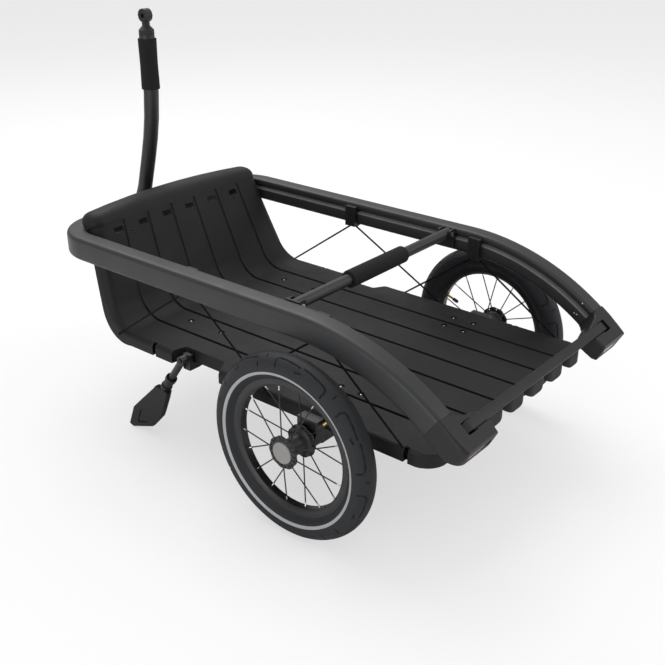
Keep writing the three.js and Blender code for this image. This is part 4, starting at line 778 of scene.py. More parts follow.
def joined_mesh(name, pieces):
    """One mesh from several solids that stay apart."""
    work = bmesh.new()
    for piece in pieces:
        work.from_mesh(piece.data)
        bpy.data.objects.remove(piece)
    mesh = bpy.data.meshes.new(name)
    work.to_mesh(mesh)
    work.free()
    joined = bpy.data.objects.new(name, mesh)
    bpy.context.scene.collection.objects.link(joined)
    return joined


def node_tree(name, inputs):
    """Empty geometry tree with named inputs."""
    tree = bpy.data.node_groups.new(name, "GeometryNodeTree")
    tree.interface.new_socket("Geometry", in_out="OUTPUT", socket_type="NodeSocketGeometry")
    tree.interface.new_socket("Geometry", in_out="INPUT", socket_type="NodeSocketGeometry")
    for label, kind in inputs:
        tree.interface.new_socket(label, in_out="INPUT", socket_type="NodeSocket" + kind)
    return tree, tree.nodes.new("NodeGroupInput"), tree.nodes.new("NodeGroupOutput")


def grown(piece, tree, **values):
    """Runs a tree on the piece and keeps the result as its plain mesh."""
    step = piece.modifiers.new(tree.name, "NODES")
    step.node_group = tree
    for item in tree.interface.items_tree:
        if item.in_out == "INPUT" and item.name in values:
            step[item.identifier] = values[item.name]
    return evaluated(piece)


def round_axle_tree():
    """Copies of the piece spread evenly round an axle along Y."""
    inputs = [("Count", "Int"), ("Start", "Float"), ("Centre", "Vector"), ("Material", "Material")]
    tree, given, result = node_tree("Copies round the axle", inputs)
    nodes, links = tree.nodes, tree.links
    points = nodes.new("GeometryNodePoints")
    links.new(given.outputs["Count"], points.inputs["Count"])
    links.new(given.outputs["Centre"], points.inputs["Position"])
    index = nodes.new("GeometryNodeInputIndex")
    share = nodes.new("ShaderNodeMath")
    share.operation = "DIVIDE"
    links.new(index.outputs["Index"], share.inputs[0])
    links.new(given.outputs["Count"], share.inputs[1])
    angle = nodes.new("ShaderNodeMath")
    angle.operation = "MULTIPLY_ADD"
    angle.inputs[1].default_value = -2 * math.pi
    links.new(share.outputs[0], angle.inputs[0])
    back = nodes.new("ShaderNodeMath")
    back.operation = "MULTIPLY"
    back.inputs[1].default_value = -1.0
    links.new(given.outputs["Start"], back.inputs[0])
    links.new(back.outputs[0], angle.inputs[2])
    turn = nodes.new("ShaderNodeCombineXYZ")
    links.new(angle.outputs[0], turn.inputs["Y"])
    copies = nodes.new("GeometryNodeInstanceOnPoints")
    links.new(points.outputs[0], copies.inputs["Points"])
    links.new(given.outputs["Geometry"], copies.inputs["Instance"])
    links.new(turn.outputs[0], copies.inputs["Rotation"])
    finish_tree(tree, copies.outputs["Instances"], given, result)
    return tree


def finish_tree(tree, socket, given, result):
    """Makes the copies real, gives them their material and ends the tree."""
    whole = tree.nodes.new("GeometryNodeRealizeInstances")
    painted = tree.nodes.new("GeometryNodeSetMaterial")
    tree.links.new(socket, whole.inputs[0])
    tree.links.new(whole.outputs[0], painted.inputs["Geometry"])
    tree.links.new(given.outputs["Material"], painted.inputs["Material"])
    tree.links.new(painted.outputs["Geometry"], result.inputs[0])


def spokes_of(w, tag, side, place):
    """Radial spokes of both flanges, each with its nipple at the rim."""
    tree = round_axle_tree()
    count = w.spokes_per_flange
    tip = w.rim_radius - RIM_DEPTH - 0.0003
    for part, sign, start in (("outer", 1, w.spoke_turn), ("inner", -1, w.spoke_turn + math.pi / count)):
        root = Vector((EYE_CIRCLE, side * sign * FLANGE_AT, 0))
        end = Vector((tip, side * sign * 0.0025, 0))
        over = root + Vector((-0.0006, side * sign * 0.0034, 0))
        under = root + Vector((-0.0006, -side * sign * 0.0034, 0))
        lean = (end - root).normalized()
        path = bent_path([over, under, under + lean * 0.004, end], 0.0007, 3)
        spoke = tube("spoke", path, w.spoke_radius, 10)
        head = rod("head", over, over + Vector((0, side * sign * 0.0009, 0)), w.spoke_radius * 1.9, 12)
        spokes = joined_mesh(f"spokes_{tag}_{part}", [spoke, head])
        nipples = turned(f"nipples_{tag}_{part}", nipple_profile(), 12, (0, 0, 0), axis="Z")
        turn = Vector((0, 0, 1)).rotation_difference(lean)
        nipples.data.transform(Matrix.Translation(end - lean * 0.011) @ turn.to_matrix().to_4x4())
        for piece, finish in ((spokes, "rim_paint"), (nipples, "bright_steel")):
            material = finish_of(finish)
            grown(piece, tree, Count=count, Start=start, Centre=tuple(place), Material=material)
            finished(piece, material, f"{tag}_wheel", slot=finish, sharp=50)


def nipple_profile():
    """Spoke nipple: a square-shouldered barrel that widens into the rim."""
    return [
        (0.0, 0.0),
        (0.0014, 0.0),
        (0.0016, 0.0006),
        (0.0016, 0.0075),
        (0.0021, 0.0085),
        (0.0021, 0.0125),
        (0.0, 0.0125),
    ]


def valve_of(tag, side):
    """Brass valve stem with its nut, thread and black cap."""
    angle = math.radians(-135 if side < 0 else 110)
    turn = Matrix.Translation(Vector(wheel_place(side))) @ Matrix.Rotation(angle, 4, "Y")
    stem = [
        (0.0, -0.146),
        (0.0028, -0.146),
        (0.0028, -0.134),
        (0.0046, -0.1335),
        (0.0046, -0.1312),
        (0.0030, -0.1305),
    ]
    for k in range(9):
        stem += [(0.0030, -0.1300 + 0.0018 * k), (0.0026, -0.1291 + 0.0018 * k)]
    stem += [(0.0026, -0.1128), (0.0, -0.1128)]
    cap = [
        (0.0, -0.1150),
        (0.0036, -0.1150),
        (0.0042, -0.1140),
        (0.0042, -0.1035),
        (0.0034, -0.1002),
        (0.0, -0.1000),
    ]
    for part, profile, finish in (("stem", stem, "valve_brass"), ("cap", cap, "cap_plastic")):
        piece = turned(f"valve_{tag}_{part}", profile, 24, (0, 0, 0), axis="Z")
        piece.data.transform(turn)
        nodes = (f"valve_{tag}",) if part == "stem" else ()
        finished(piece, finish_of(finish), f"{tag}_wheel", *nodes, slot=finish, sharp=40)


# Rail, caps and crossbar

# Millimetres behind the axle: where the rail starts to drop, and its front.
DROP_START = -35
RAIL_FRONT = -697

# The rear slope: its steepness, and its origin behind the axle and above the ground.
SLOPE = math.radians(36)
SLOPE_ORIGIN = (293.0, 334.43)

# Screws at each rear end of the rail, in its slope's frame: along, out, across, and lean of the head.
RAIL_SCREWS = (
    (-26.5, -12, 284.8, 0.0),
    (-20, -9.5, 284.8, 0.0),
    (-29, 20, 286.6, 0.45),
    (-22.5, 22, 287.6, 0.45),
)

RAIL_SCREW_RADIUS = 0.0019


def rail_section(r):
    """Rail section as (outward, up), with the slot along its inner side."""
    w, h, mouth = r.half_width, r.half_height, r.slot_depth
    corners = [
        (-w, h, r.corner + 0.004),
        (-w, 0.0140, 0.0010),
        (-0.0190, 0.0140, 0.0004),
        (-0.0190, 0.0205),
        (-mouth, 0.0205, 0.0006),
        (-mouth, -0.0015, 0.0006),
        (-0.0190, -0.0015),
        (-0.0190, 0.0005, 0.0004),
        (-w - 0.0008, 0.0005, 0.0008),
        (-w - 0.0008, -h, r.corner),
        (w, -h, r.corner),
        (w, h, r.corner + 0.002),
    ]
    return rounded(corners, 8)


def rail_stations(r):
    """Centre, outward and up along the rail, from the left rear end round the front to the right."""
    half = []
    for k in range(49):
        a = r.drop_angle * (1 - k / 48)
        x = spot(DROP_START, 0, 0).x + r.drop_radius * math.sin(a)
        z = r.centre_z - r.drop_radius * (1 - math.cos(a))
        half.append((Vector((x, r.centre_y, z)), Vector((0, 1, 0)), Vector((math.sin(a), 0, math.cos(a)))))
    for k in range(33):
        t = math.pi / 2 * k / 32
        x = spot(RAIL_FRONT, 0, 0).x - r.bend_radius * math.sin(t)
        y = r.centre_y - r.bend_radius * (1 - math.cos(t))
        half.append((Vector((x, y, r.centre_z)), Vector((-math.sin(t), math.cos(t), 0)), Vector((0, 0, 1))))
    mirror = Vector((1, -1, 1))
    left = [(centre * mirror, outward * mirror, up) for centre, outward, up in half]
    return left + half[::-1]


def rail_rings(r, section):
    """Section of (outward, up) points at every station of the rail."""
    return [[centre + outward * a + up * b for a, b in section] for centre, outward, up in rail_stations(r)]


def slope_point(s, y, n):
    """Point in the rear slope's own frame: along it, across and out of it, in millimetres."""
    cos, sin = math.cos(SLOPE), math.sin(SLOPE)
    return spot(SLOPE_ORIGIN[0] + s * cos + n * sin, y, SLOPE_ORIGIN[1] - s * sin + n * cos)


class TRAILER_OT_rail(bpy.types.Operator):
    """Top rail, bent from one slotted extrusion"""

    bl_idname = "trailer.rail"
    bl_label = "Top rail"

    def execute(self, context):
        r = sizes("rail")
        rail = loft("top_rail_extrusion", rail_rings(r, rail_section(r)))
        finished(rail, finish_of("powder_coat"), "chassis", "top_rail", slot="rail_paint", sharp=28)
        # Light strip on the ledge inside the slot, painted as the highlight that the ledge catches.
        highlight_strip = [(-0.0212, -0.0004), (-0.0112, -0.0004), (-0.0112, 0.0058), (-0.0212, 0.0022)]
        strip = loft("top_rail_slot_lining", rail_rings(r, highlight_strip))
        finished(strip, finish_of("slot_highlight"), "chassis", slot="rail_paint", sharp=40)
        places = []
        for _, side in SIDES:
            for along, n, y, lean in RAIL_SCREWS:
                facing = slope_point(0, -side, lean) - slope_point(0, 0, 0)
                places.append((slope_point(along, side * y, n), facing.normalized()))
        screws("top_rail_screws", places, RAIL_SCREW_RADIUS, "bright_steel")
        return {"FINISHED"}


def curve_points(a, b, c, d, steps):
    """Points of a cubic curve between a and d."""
    points = []
    for k in range(1, steps + 1):
        t = k / steps
        p = [(1 - t) ** 3 * q + 3 * (1 - t) ** 2 * t * u + 3 * (1 - t) * t ** 2 * v + t ** 3 * e
             for q, u, v, e in zip(a, b, c, d)]
        points.append(tuple(p))
    return points


def cap_outline():
    """Plan of the left cap on the slope as (along, across), its tail rounded outside."""
    outline = [(0.3, -330), (55, -330)]
    outline += curve_points((55, -330), (77, -330), (86, -321), (86, -301), 14)
    outline += [(86, -228), (85.3, -225.2), (83.7, -223.6), (81, -223), (40, -216)]
    outline += curve_points((40, -216), (17, -214), (21.6, -286), (0.3, -286), 14)
    return outline


def slope_slab(name, side, outline, low, high, edge=0.0, steps=5):
    """Outline on the slope pushed from low to high out of it, in millimetres."""
    plan = [(s, -y * side) for s, y in outline]
    return slab(name, plan, low, high, edge, steps, slope_point)


def slope_wedge(name, side, outline, near, far):
    """Outline in (along, out of the slope) pushed across from near to far."""
    return slab(name, outline, near * side, far * side, place=lambda s, n, y: slope_point(s, y, n))


# The cap's tail face leans forward from the slope's square: its angle, and where it crosses the slope.
TAIL_LEAN = math.radians(8.8)
TAIL_AT = 83.7


def tail_point(y, run, out):
    """Point on the leaning tail face: across, up along it and out of it, in millimetres."""
    sin, cos = math.sin(TAIL_LEAN), math.cos(TAIL_LEAN)
    return slope_point(TAIL_AT - run * sin + out * cos, y, run * cos + out * sin)


def tail_slab(name, side, outline, low, high, edge=0.0, steps=4):
    """Outline on the left cap's tail face pushed from low to high out of it, in millimetres."""
    face = [(-y * side, run) for y, run in outline]
    return slab(name, face, low, high, edge, steps, tail_point)


def box_outline(low, high):
    """Four corners from the lowest and the highest."""
    return [(low[0], low[1]), (high[0], low[1]), (high[0], high[1]), (low[0], high[1])]


class TRAILER_OT_caps(bpy.types.Operator):
    """Moulded rear caps with their reflectors, and the crossbar between them"""

    bl_idname = "trailer.caps"
    bl_label = "Caps, reflectors and crossbar"

    def execute(self, context):
        for tag, side in SIDES:
            cap = slope_slab(f"rail_end_cap_{tag}_shell", side, cap_outline(), -28, 28, 5, 6)
            for cutter in self.cutters(side):
                carved(cap, [cutter])
            corners = [(-329.97, -27.97, 9), (-286.03, -27.97, 9), (-286.03, 27.97, 13), (-329.97, 27.97, 11)]
            outline = [(-y * side, n) for y, n in rounded(corners, 8)]
            stub = slab("stub", outline, 0.25, 15, place=lambda y, n, s: slope_point(s, y, n))
            carved(cap, [stub], "UNION")
            cleaned(cap.data)
            finished(cap, finish_of("cap_plastic"), "chassis", f"rail_end_cap_{tag}",
                     slot="cap_plastic", sharp=30, even=True)
            self.reflector(tag, side)
        self.crossbar()
        return {"FINISHED"}

    def cutters(self, side):
        """What is cut from a cap: its hollow, the seats of bar and reflector, and its chamfers."""
        end = packed_box[1][0] - 0.0002
        low, high = sorted((side * 0.2, side * 0.36))
        under = [(52, -34), (95, -34), (95, -12), (85.9, -12), (52, -28.02)]
        well = rounded([(26, -291, 2), (52.5, -291, 2), (52.5, -262, 2), (26, -262, 2)], 3)
        tail = [(79.3, 28.7), (110, 28.7), (110, -13), (85.7, -13)]
        seat = [(-309, -8.5), (-228, -3), (-228, 14), (-309, 9)]
        return [
            slope_wedge("under", side, under, 210, 340),
            slope_slab("hollow", side, box_outline((-1, -281), (100, -205)), -40, -17),
            slope_slab("pocket", side, box_outline((27.3, -290.3), (50.4, -200)), 20.7, 40),
            slope_slab("well", side, well, 8, 40),
            slope_wedge("tail", side, tail, 215, 335),
            self.facet(side),
            block("limit", (end, 0.8), (low, high), (0.2, 0.5)),
            tail_slab("seat", side, seat, -5.5, 30),
        ]

    def crossbar(self):
        """Flat bar across the slope, its ends dipping into the caps."""
        section = rounded([(27.6, 21, 1.5), (48.1, 21, 1.5), (48.1, 30, 1.5), (27.6, 30, 1.5)], 5)
        ends = ((290, 8), (285, 6), (280, 3.2), (275, 1), (271, 0))
        stations = [(-y, drop) for y, drop in ends] + list(ends[::-1])
        rings = [[slope_point(along, y, n - drop) for along, n in section] for y, drop in stations]
        bar = loft("rear_crossbar_strip", rings)
        finished(bar, finish_of("cap_plastic"), "chassis", "rear_crossbar", slot="frame_paint", sharp=30)

    def facet(self, side):
        """What is cut from the cap's outer top edge, deeper towards the tail."""
        rings = []
        for along, low, reach in ((4, 27.6, -329.9), (36, 16, -321), (60, 6, -316), (95, -8, -303)):
            corners = [(-333, low), (-333, 31), (reach + 1, 31), (reach, 28)]
            for k in range(1, 8):
                t = k / 8
                left = (1 - t) ** 2
                y = left * reach - (1 - left) * 330.1
                corners.append((y, 28 - (28 - low) * (1 - math.sqrt(1 - t ** 2))))
            corners.append((-330.1, low))
            rings.append([slope_point(along, y * -side, n) for y, n in corners])
        return loft("facet", rings)

    def reflector(self, tag, side):
        """Lens set into the cap's tail face."""
        face = rounded([(-305, -7.6, 1.5), (-243, -3.6, 1.5), (-243, 12.2, 1.5), (-305, 8.4, 1.5)], 4)
        lens = tail_slab(f"rear_reflector_{tag}_lens", side, face, -5.4, -0.6, 0.6, 3)
        finished(lens, finish_of("reflector"), "chassis", f"rear_reflector_{tag}", slot="reflector", sharp=30)


# Handle, clips, loops and cords

# Metres from the middle: the ends of the handle's tube and of its foam grip; then the round of those.
TUBE_END = 0.2784
GRIP_ENDS = (-0.104, 0.092)
GRIP_ROUND = 0.0042


class TRAILER_OT_handle(bpy.types.Operator):
    """Cross handle with its foam grip, brackets and pins"""

    bl_idname = "trailer.handle"
    bl_label = "Cross handle"

    def execute(self, context):
        p = sizes("rods")
        centre = spot(-75, 0, 456.5)
        tube_radius = p.handle_radius
        profile = [(0.0, -TUBE_END), (tube_radius, -TUBE_END), (tube_radius, TUBE_END), (0.0, TUBE_END)]
        bar = turned("handle_tube_round", profile, 64, centre)
        finished(bar, finish_of("powder_coat"), "chassis", "handle_tube", slot="rail_paint", sharp=40)
        (near, far), outer, inner = GRIP_ENDS, p.grip_radius, tube_radius + 0.0002
        profile = [(inner, near), (outer, near, GRIP_ROUND), (outer, far, GRIP_ROUND), (inner, far)]
        grip = turned("foam_grip_sleeve", rounded(profile, 8), 72, centre)
        finished(grip, finish_of("foam"), "chassis", "foam_grip", slot="foam", sharp=50)
        for tag, _ in SIDES:
            dressed(f"handle_bracket_{tag}", finish_of("cap_plastic"), "cap_plastic", sharp=28)
            dressed(f"handle_pin_{tag}", finish_of("bright_steel"), "bright_steel", sharp=40)
        return {"FINISHED"}


# Each clip's seat behind the axle and above the ground in millimetres, and its tilt.
CLIPS = (("front", -368.6, 441.0, 0.0), ("rear", 0.5, 439.14, math.radians(3)))
LOOP_Y = 293


def loop_path(seat_x, seat_z, y, tilt):
    """Wire loop that hangs from a clip: down, back under the cord, and up again."""
    corners = [(-9, -30.8), (-9, -37.3), (9, -37.3), (9, -30.8)]
    cos, sin = math.cos(tilt), math.sin(tilt)
    return [spot(seat_x + x * cos + z * sin, y, seat_z - x * sin + z * cos) for x, z in corners]


# The left cord's corners: from the tray's edge up through each clip and down to the edge again.
CORD_ROUTE = (
    (-605, -296, 236),
    (-605, -311, 246),
    (-377.0, -300, 407.6),
    (-360.2, -287, 407.6),
    (-113, -315.5, 252),
    (-113, -296, 240),
    (-216, -296, 240),
    (-216, -306, 252),
    (-8.0, -300, 406.1),
    (9.0, -287, 405.2),
    (222, -306, 252),
    (222, -296, 240),
)


class TRAILER_OT_cords(bpy.types.Operator):
    """Clips, wire loops and the lacing cord of each side"""

    bl_idname = "trailer.cords"
    bl_label = "Clips, loops and cords"

    def execute(self, context):
        p = sizes("rods")
        for tag, side in SIDES:
            for place, seat_x, seat_z, tilt in CLIPS:
                dressed(f"cord_clip_{place}_{tag}", finish_of("cap_plastic"), "cap_plastic", sharp=28)
                wire = bent_path(loop_path(seat_x, seat_z, side * LOOP_Y, tilt), 0.0032, 8)
                loop = tube(f"cord_loop_{place}_{tag}_wire", wire, p.loop_radius, 16)
                finished(loop, finish_of("bright_steel"), "chassis", f"cord_loop_{place}_{tag}",
                         slot="bright_steel")
            route = [spot(x, -y * side, z) for x, y, z in CORD_ROUTE]
            path = bent_path(route, 0.0038, 8)
            cord = tube(f"lacing_cord_{tag}_braid", path, p.cord_radius, 12)
            finished(cord, finish_of("cord"), "chassis", f"lacing_cord_{tag}", slot="cord")
        return {"FINISHED"}


# Underframe, stands and drawbar


def upright(x, z, y):
    """Place of a point of a side view, at y across the trailer."""
    return spot(x, y, z)


class TRAILER_OT_underframe(bpy.types.Operator):
    """Underframe with its wheel receivers"""

    bl_idname = "trailer.underframe"
    bl_label = "Underframe and receivers"

    def execute(self, context):
        dressed("underframe", finish_of("frame_paint"), "frame_paint", sharp=28)
        arc = [math.radians(175 + 190 * k / 32) for k in range(33)]
        profile = [(24 * math.cos(a), 203 + 24 * math.sin(a)) for a in arc]
        profile += [(30, 222), (30, 250), (-22, 250), (-22, 222)]
        for tag, side in SIDES:
            low, high = sorted((side * 304, side * 336))
            holder = slab(f"wheel_receiver_{tag}_block", profile, low, high, 2.5, 4, upright)
            finished(holder, finish_of("frame_paint"), "chassis", f"wheel_receiver_{tag}",
                     slot="frame_paint", sharp=28)
        return {"FINISHED"}


# A stand's foot seen from its side, and the mark sunk into its outer face.
FOOT_OUTLINE = (
    (-596.5, 5),
    (-582, 0.3),
    (-511, 26),
    (-474, 66),
    (-455, 112),
    (-446, 138),
    (-462, 146.5),
    (-486, 146.5),
    (-575, 59),
)
FOOT_MARK = ((-549, 60), (-563, 20), (-524, 33), (-525.3, 36.4), (-558.4, 25.4), (-545.6, 58.8))

# Across the trailer, and how far the outline is drawn in there.
FOOT_LAYERS = ((285.7, 10), (299, 0.6), (302, 0), (309.5, 0), (311.6, 0.8), (312.3, 2.4))

# A point on the foot's crest, and the way that it slants.
CREST_AT = (-554, 70)
CREST_WAY = (0.816, 0.578)


class TRAILER_OT_stands(bpy.types.Operator):
    """Folding stands: bracket, pivot pin, leg, collar and foot"""

    bl_idname = "trailer.stands"
    bl_label = "Stands"

    def execute(self, context):
        for tag, side in SIDES:
            dressed(f"stand_bracket_{tag}", finish_of("frame_paint"), "frame_paint", sharp=28)
            dressed(f"stand_pivot_pin_{tag}", finish_of("dark_steel"), "bright_steel", sharp=40)
            dressed(f"stand_leg_{tag}", finish_of("frame_paint"), "frame_paint", sharp=35)
            dressed(f"stand_collar_{tag}", finish_of("cap_plastic"), "cap_plastic", sharp=28)
            rings = []
            for y, pull in FOOT_LAYERS:
                rings.append([upright(x, z, y * side) for x, z in inset(FOOT_OUTLINE, pull)])
            foot = loft(f"stand_foot_{tag}_pad", rings)
            carved(foot, [self.crest(side)])
            low, high = sorted((side * 320, side * 308.8))
            carved(foot, [slab("mark", FOOT_MARK, low, high, place=upright)])
            finished(foot, finish_of("foot_rubber"), f"{tag}_stand", f"stand_foot_{tag}",
                     slot="foot_rubber", sharp=30, even=True)
        return {"FINISHED"}

    def crest(self, side):
        """What is cut from the foot's outer face above its slanting crest."""
        run, rise = CREST_WAY
        rings = []
        for along in (-70, 90):
            x, z = CREST_AT[0] + run * along, CREST_AT[1] + rise * along
            corners = ((0, -313.5), (60, -313.5), (60, -296), (0, -312.5))
            rings.append([spot(x - rise * up, y * -side, z + run * up) for up, y in corners])
        return loft("crest", rings)


class TRAILER_OT_drawbar(bpy.types.Operator):
    """Raised drawbar with its grip, hitch, bracket, pin and clamp knob"""

    bl_idname = "trailer.drawbar"
    bl_label = "Drawbar"

    def execute(self, context):
        dressed("drawbar_tube", finish_of("frame_paint"), "frame_paint", sharp=32)
        sleeve = dressed("drawbar_grip", finish_of("foam"), "foam", sharp=50)
        dressed("hitch_coupling", finish_of("cap_plastic"), "cap_plastic", sharp=28)
        dressed("drawbar_bracket", finish_of("frame_paint"), "frame_paint", sharp=28)
        dressed("drawbar_pivot_pin", finish_of("bright_steel"), "bright_steel", sharp=40)
        dressed("drawbar_clamp_knob", finish_of("cap_plastic"), "cap_plastic", sharp=40)
        return {"FINISHED"}


# Tray, in millimetres behind the axle and above the ground

TRAY_REAR = 309
HALF_FLOOR = 311
PANEL_TURN = math.radians(69)
BEND_CENTRE = np.array((-562.0, 333.0))
BEND_RADIUS = 75.0
PANEL_HEIGHT = 187.0
LIP_RADIUS = 50.0
LIP_TURN = math.radians(106)

# The panel's face: the way that it faces, the way up along it, its foot at the bend and its head at the lip.
PANEL_FACE = np.array([math.sin(PANEL_TURN), math.cos(PANEL_TURN)])
PANEL_UP = np.array([-math.cos(PANEL_TURN), math.sin(PANEL_TURN)])
PANEL_FOOT = BEND_CENTRE - BEND_RADIUS * PANEL_FACE
PANEL_HEAD = PANEL_FOOT + PANEL_HEIGHT * PANEL_UP


def facing_at(angle):
    """The way that the moulding faces where it has turned by this angle, as (back, up)."""
    return np.array([math.sin(angle), math.cos(angle)])


def tray_station(run, part):
    """One place of the sweep.

    It gives the point, the way up, half the width, the round of the edge, the flange's depth,
    the groove's share of its depth, how far the planks narrow, and how far the face is bowed.
    """
    if part == "floor":
        x = TRAY_REAR + (BEND_CENTRE[0] - TRAY_REAR) * run
        return np.array([x, BEND_CENTRE[1] - BEND_RADIUS]), facing_at(0), HALF_FLOOR, 13, 31, 1, 1, 0
    if part == "bend":
        up = facing_at(PANEL_TURN * run)
        half, edge, groove = HALF_FLOOR - 10 * run, 13 + 7 * run, 1 - 0.5 * run
        flange = 31 + 8 * run + 8 * math.sin(math.pi * run)
        return BEND_CENTRE - BEND_RADIUS * up, up, half, edge, flange, groove, 1, 0
    if part == "panel":
        point = PANEL_FOOT + PANEL_HEIGHT * PANEL_UP * run
        groove = 0.0 if run > 0.999 else 0.5
        half, edge, flange = 301 - 24 * run, 20 + 14 * run, 39 - 3 * run
        return point, PANEL_FACE, half, edge, flange, groove, 1 - 0.1 * run, run * run / 2
    ease = min(1, 2 * run)
    up = facing_at(PANEL_TURN - LIP_TURN * run)
    point = PANEL_HEAD + LIP_RADIUS * (up - PANEL_FACE)
    return point, up, 277, 34 - 7 * ease, 36 - 7 * ease, 0, 0.9, (1 + 2.4 * ease) / 2


def tray_ring(station, t):
    """Ring of (across, depth) points of the tray's section, outside first and then inside."""
    _, _, half, edge, flange, groove, narrow, _ = station
    wall = t.wall / MM
    depth = t.groove_depth / MM * groove
    wide = t.groove_width / MM / 2
    quarter = [math.pi / 2 * k / 6 for k in range(7)]
    outer = [(-half, -flange)]
    outer += [(-half + edge * (1 - math.cos(a)), -edge * (1 - math.sin(a))) for a in quarter]
    pitch = t.plank_pitch / MM * narrow
    lines = [pitch * (g - (t.plank_count - 2) / 2) for g in range(t.plank_count - 1)]
    lip = 0.5 * min(1, depth)
    groove_half = [(wide + 1.2, 0), (wide, -lip), (wide * 0.72, -depth * 0.94), (wide * 0.5, -depth)]
    top = []
    for y in lines:
        top += [(y - reach, z) for reach, z in groove_half]
        top += [(y + reach, z) for reach, z in groove_half[::-1]]
    right = [(-y, z) for y, z in outer[::-1]]
    inner_edge = max(edge - wall, 2)
    inner = [(half - wall, -flange)]
    inner += [(half - wall - inner_edge * (1 - math.cos(a)), -wall - inner_edge * (1 - math.sin(a)))
              for a in quarter]
    deep = -wall - max(0.0, depth - 1.2) - 0.02
    under = []
    for y in lines[::-1]:
        under += [(y + wide + 2, -wall), (y + wide * 0.6, deep)]
        under += [(y - wide * 0.6, deep), (y - wide - 2, -wall)]
    left = [(-y, z) for y, z in inner[::-1]]
    return outer + top + right + inner + under + left


def bowed(x, z, y, bow):
    """Place across the tray, moved back and down where the panel bows towards its sides."""
    crown = bow * (y / 288) ** 2
    return spot(x + 12 * crown, y, z - 5 * crown)


def tray_body(t):
    """The moulding swept from the rear edge along the floor, up the panel and over the lip."""
    stations = []
    for part, steps in (("floor", 8), ("bend", 20), ("panel", 24), ("lip", 24)):
        start = 0 if part == "floor" else 1
        stations += [tray_station(k / steps, part) for k in range(start, steps + 1)]
        if part == "panel":
            stations.insert(-1, tray_station(0.9985, "panel"))
    rings = []
    for station in stations:
        point, up, bow = station[0], station[1], station[7]
        ring = tray_ring(station, t)
        rings.append([bowed(point[0] + up[0] * z, point[1] + up[1] * z, y, bow) for y, z in ring])
    return loft("load_tray_moulding", rings)


def groove_y(g):
    """Where one of the floor's six grooves runs, across the trailer from its middle."""
    return 86 * (g - 2.5)


def tongue_outline():
    """Rear edge of the tray in plan: seven round-cornered tongues, from left to right."""
    end, valley, notch, corner, outer = 291, 275, 4, 24, 46
    start = end - outer
    outline = [(start, -HALF_FLOOR)]
    for k in range(1, 17):
        a = math.pi / 2 * k / 16
        outline.append((start + outer * math.sin(a), -HALF_FLOOR + outer * (1 - math.cos(a))))
    quarter = [math.pi / 2 * k / 8 for k in range(9)]
    for g in range(6):
        y = groove_y(g)
        for a in quarter:
            x = end - (end - valley) * (1 - math.cos(a))
            outline.append((x, y - notch / 2 - corner * (1 - math.sin(a))))
        for a in quarter:
            x = valley + (end - valley) * math.sin(a)
            outline.append((x, y + notch / 2 + corner * (1 - math.cos(a))))
    outline += [(x, -y) for x, y in outline[16::-1]]
    return outline


def plan_slab(name, outline, low, high, edge=0.0, steps=4):
    """Plan outline pushed up from low to high above the ground, in millimetres."""
    return slab(name, outline, low, high, edge, steps, spot)


# The cut-out over a stand: its front, its rear and its depth from the tray's edge.
RECESS = (-420.0, -270.0, 39.0)

# Behind the axle: the middles of the notches in each flange.
NOTCHES = (-480.0, -212.0, 105.0, 228.0)

# The pocket behind each notch: half its width, then from and to across, then from and to in height.
POCKET_OUTSIDE = (11, (293, 309), (227.2, 254.6))
POCKET_INSIDE = (8.5, (295.5, 307.2), (229.5, 254.2))

# Behind the axle and to the side: the floor's screws. Down the panel and to the side: the panel's.
FLOOR_SCREWS = ((-506.6, 168), (-402.6, 168), (-25, 246), (30, 248), (-20, 196), (34, 196))
PANEL_SCREW = (34, 170)
FLOOR_SCREW_RADIUS = 0.0026
PANEL_SCREW_RADIUS = 0.0036

# Above the ground: the lower edge of the flanges and the top of what is joined to them.
FLANGE_FOOT = 227
FLANGE_TOP = 254.4


def recess_outline(wall):
    """Plan of the cut-out over the left stand, grown by wall."""
    front, rear, depth = RECESS
    deep = -HALF_FLOOR + depth + wall
    corners = [
        (front - wall, -320),
        (rear + wall, -320),
        (rear + wall, -304.5, 5),
        (rear - 20 + wall, deep, 9),
        (front + 10 - wall, deep, 9),
        (front - wall, -304.5, 5),
    ]
    return rounded(corners, 6)


def across(outline, side):
    """Plan of the left side, mirrored where side is the right."""
    return [(x, -y * side) for x, y in outline]


def panel_point(run, y, out):
    """Point on the panel's face, run millimetres below its head and out of it."""
    x, z = PANEL_HEAD - run * PANEL_UP + out * PANEL_FACE
    return bowed(x, z, y, (1 - run / PANEL_HEIGHT) ** 2 / 2)


def panel_slab(name, outline, low, high):
    """Outline of (across, down the panel) pushed out of the panel's face."""
    return slab(name, outline, low, high, place=lambda y, run, out: panel_point(run, y, out))


def plan_block(name, xs, ys, zs):
    """Box from millimetres behind the axle, across and above the ground; ys in either order."""
    low, high = sorted(ys)
    near, far = spot(xs[0], low, zs[0]), spot(xs[1], high, zs[1])
    return block(name, (near.x, far.x), (near.y, far.y), (near.z, far.z))


def screw_shape():
    """Pan head of radius 1 with a six-sided socket, its axis along Z."""
    steps = 24
    rings = []
    for r, z, socket in ((1, -1.0, False), (1, 0.18, False), (0.9, 0.42, False), (0.6, 0.55, False),
                         (0.46, 0.55, True), (0.44, 0.1, True), (0.0, 0.1, False)):
        ring = []
        for k in range(steps):
            angle = 2 * math.pi * k / steps
            flat = math.cos(math.pi / 6) / math.cos((angle % (math.pi / 3)) - math.pi / 6) if socket else 1
            reach = max(r * flat, 0.001)
            ring.append((reach * math.cos(angle), reach * math.sin(angle), z))
        rings.append(ring)
    return loft("screw_shape", rings)


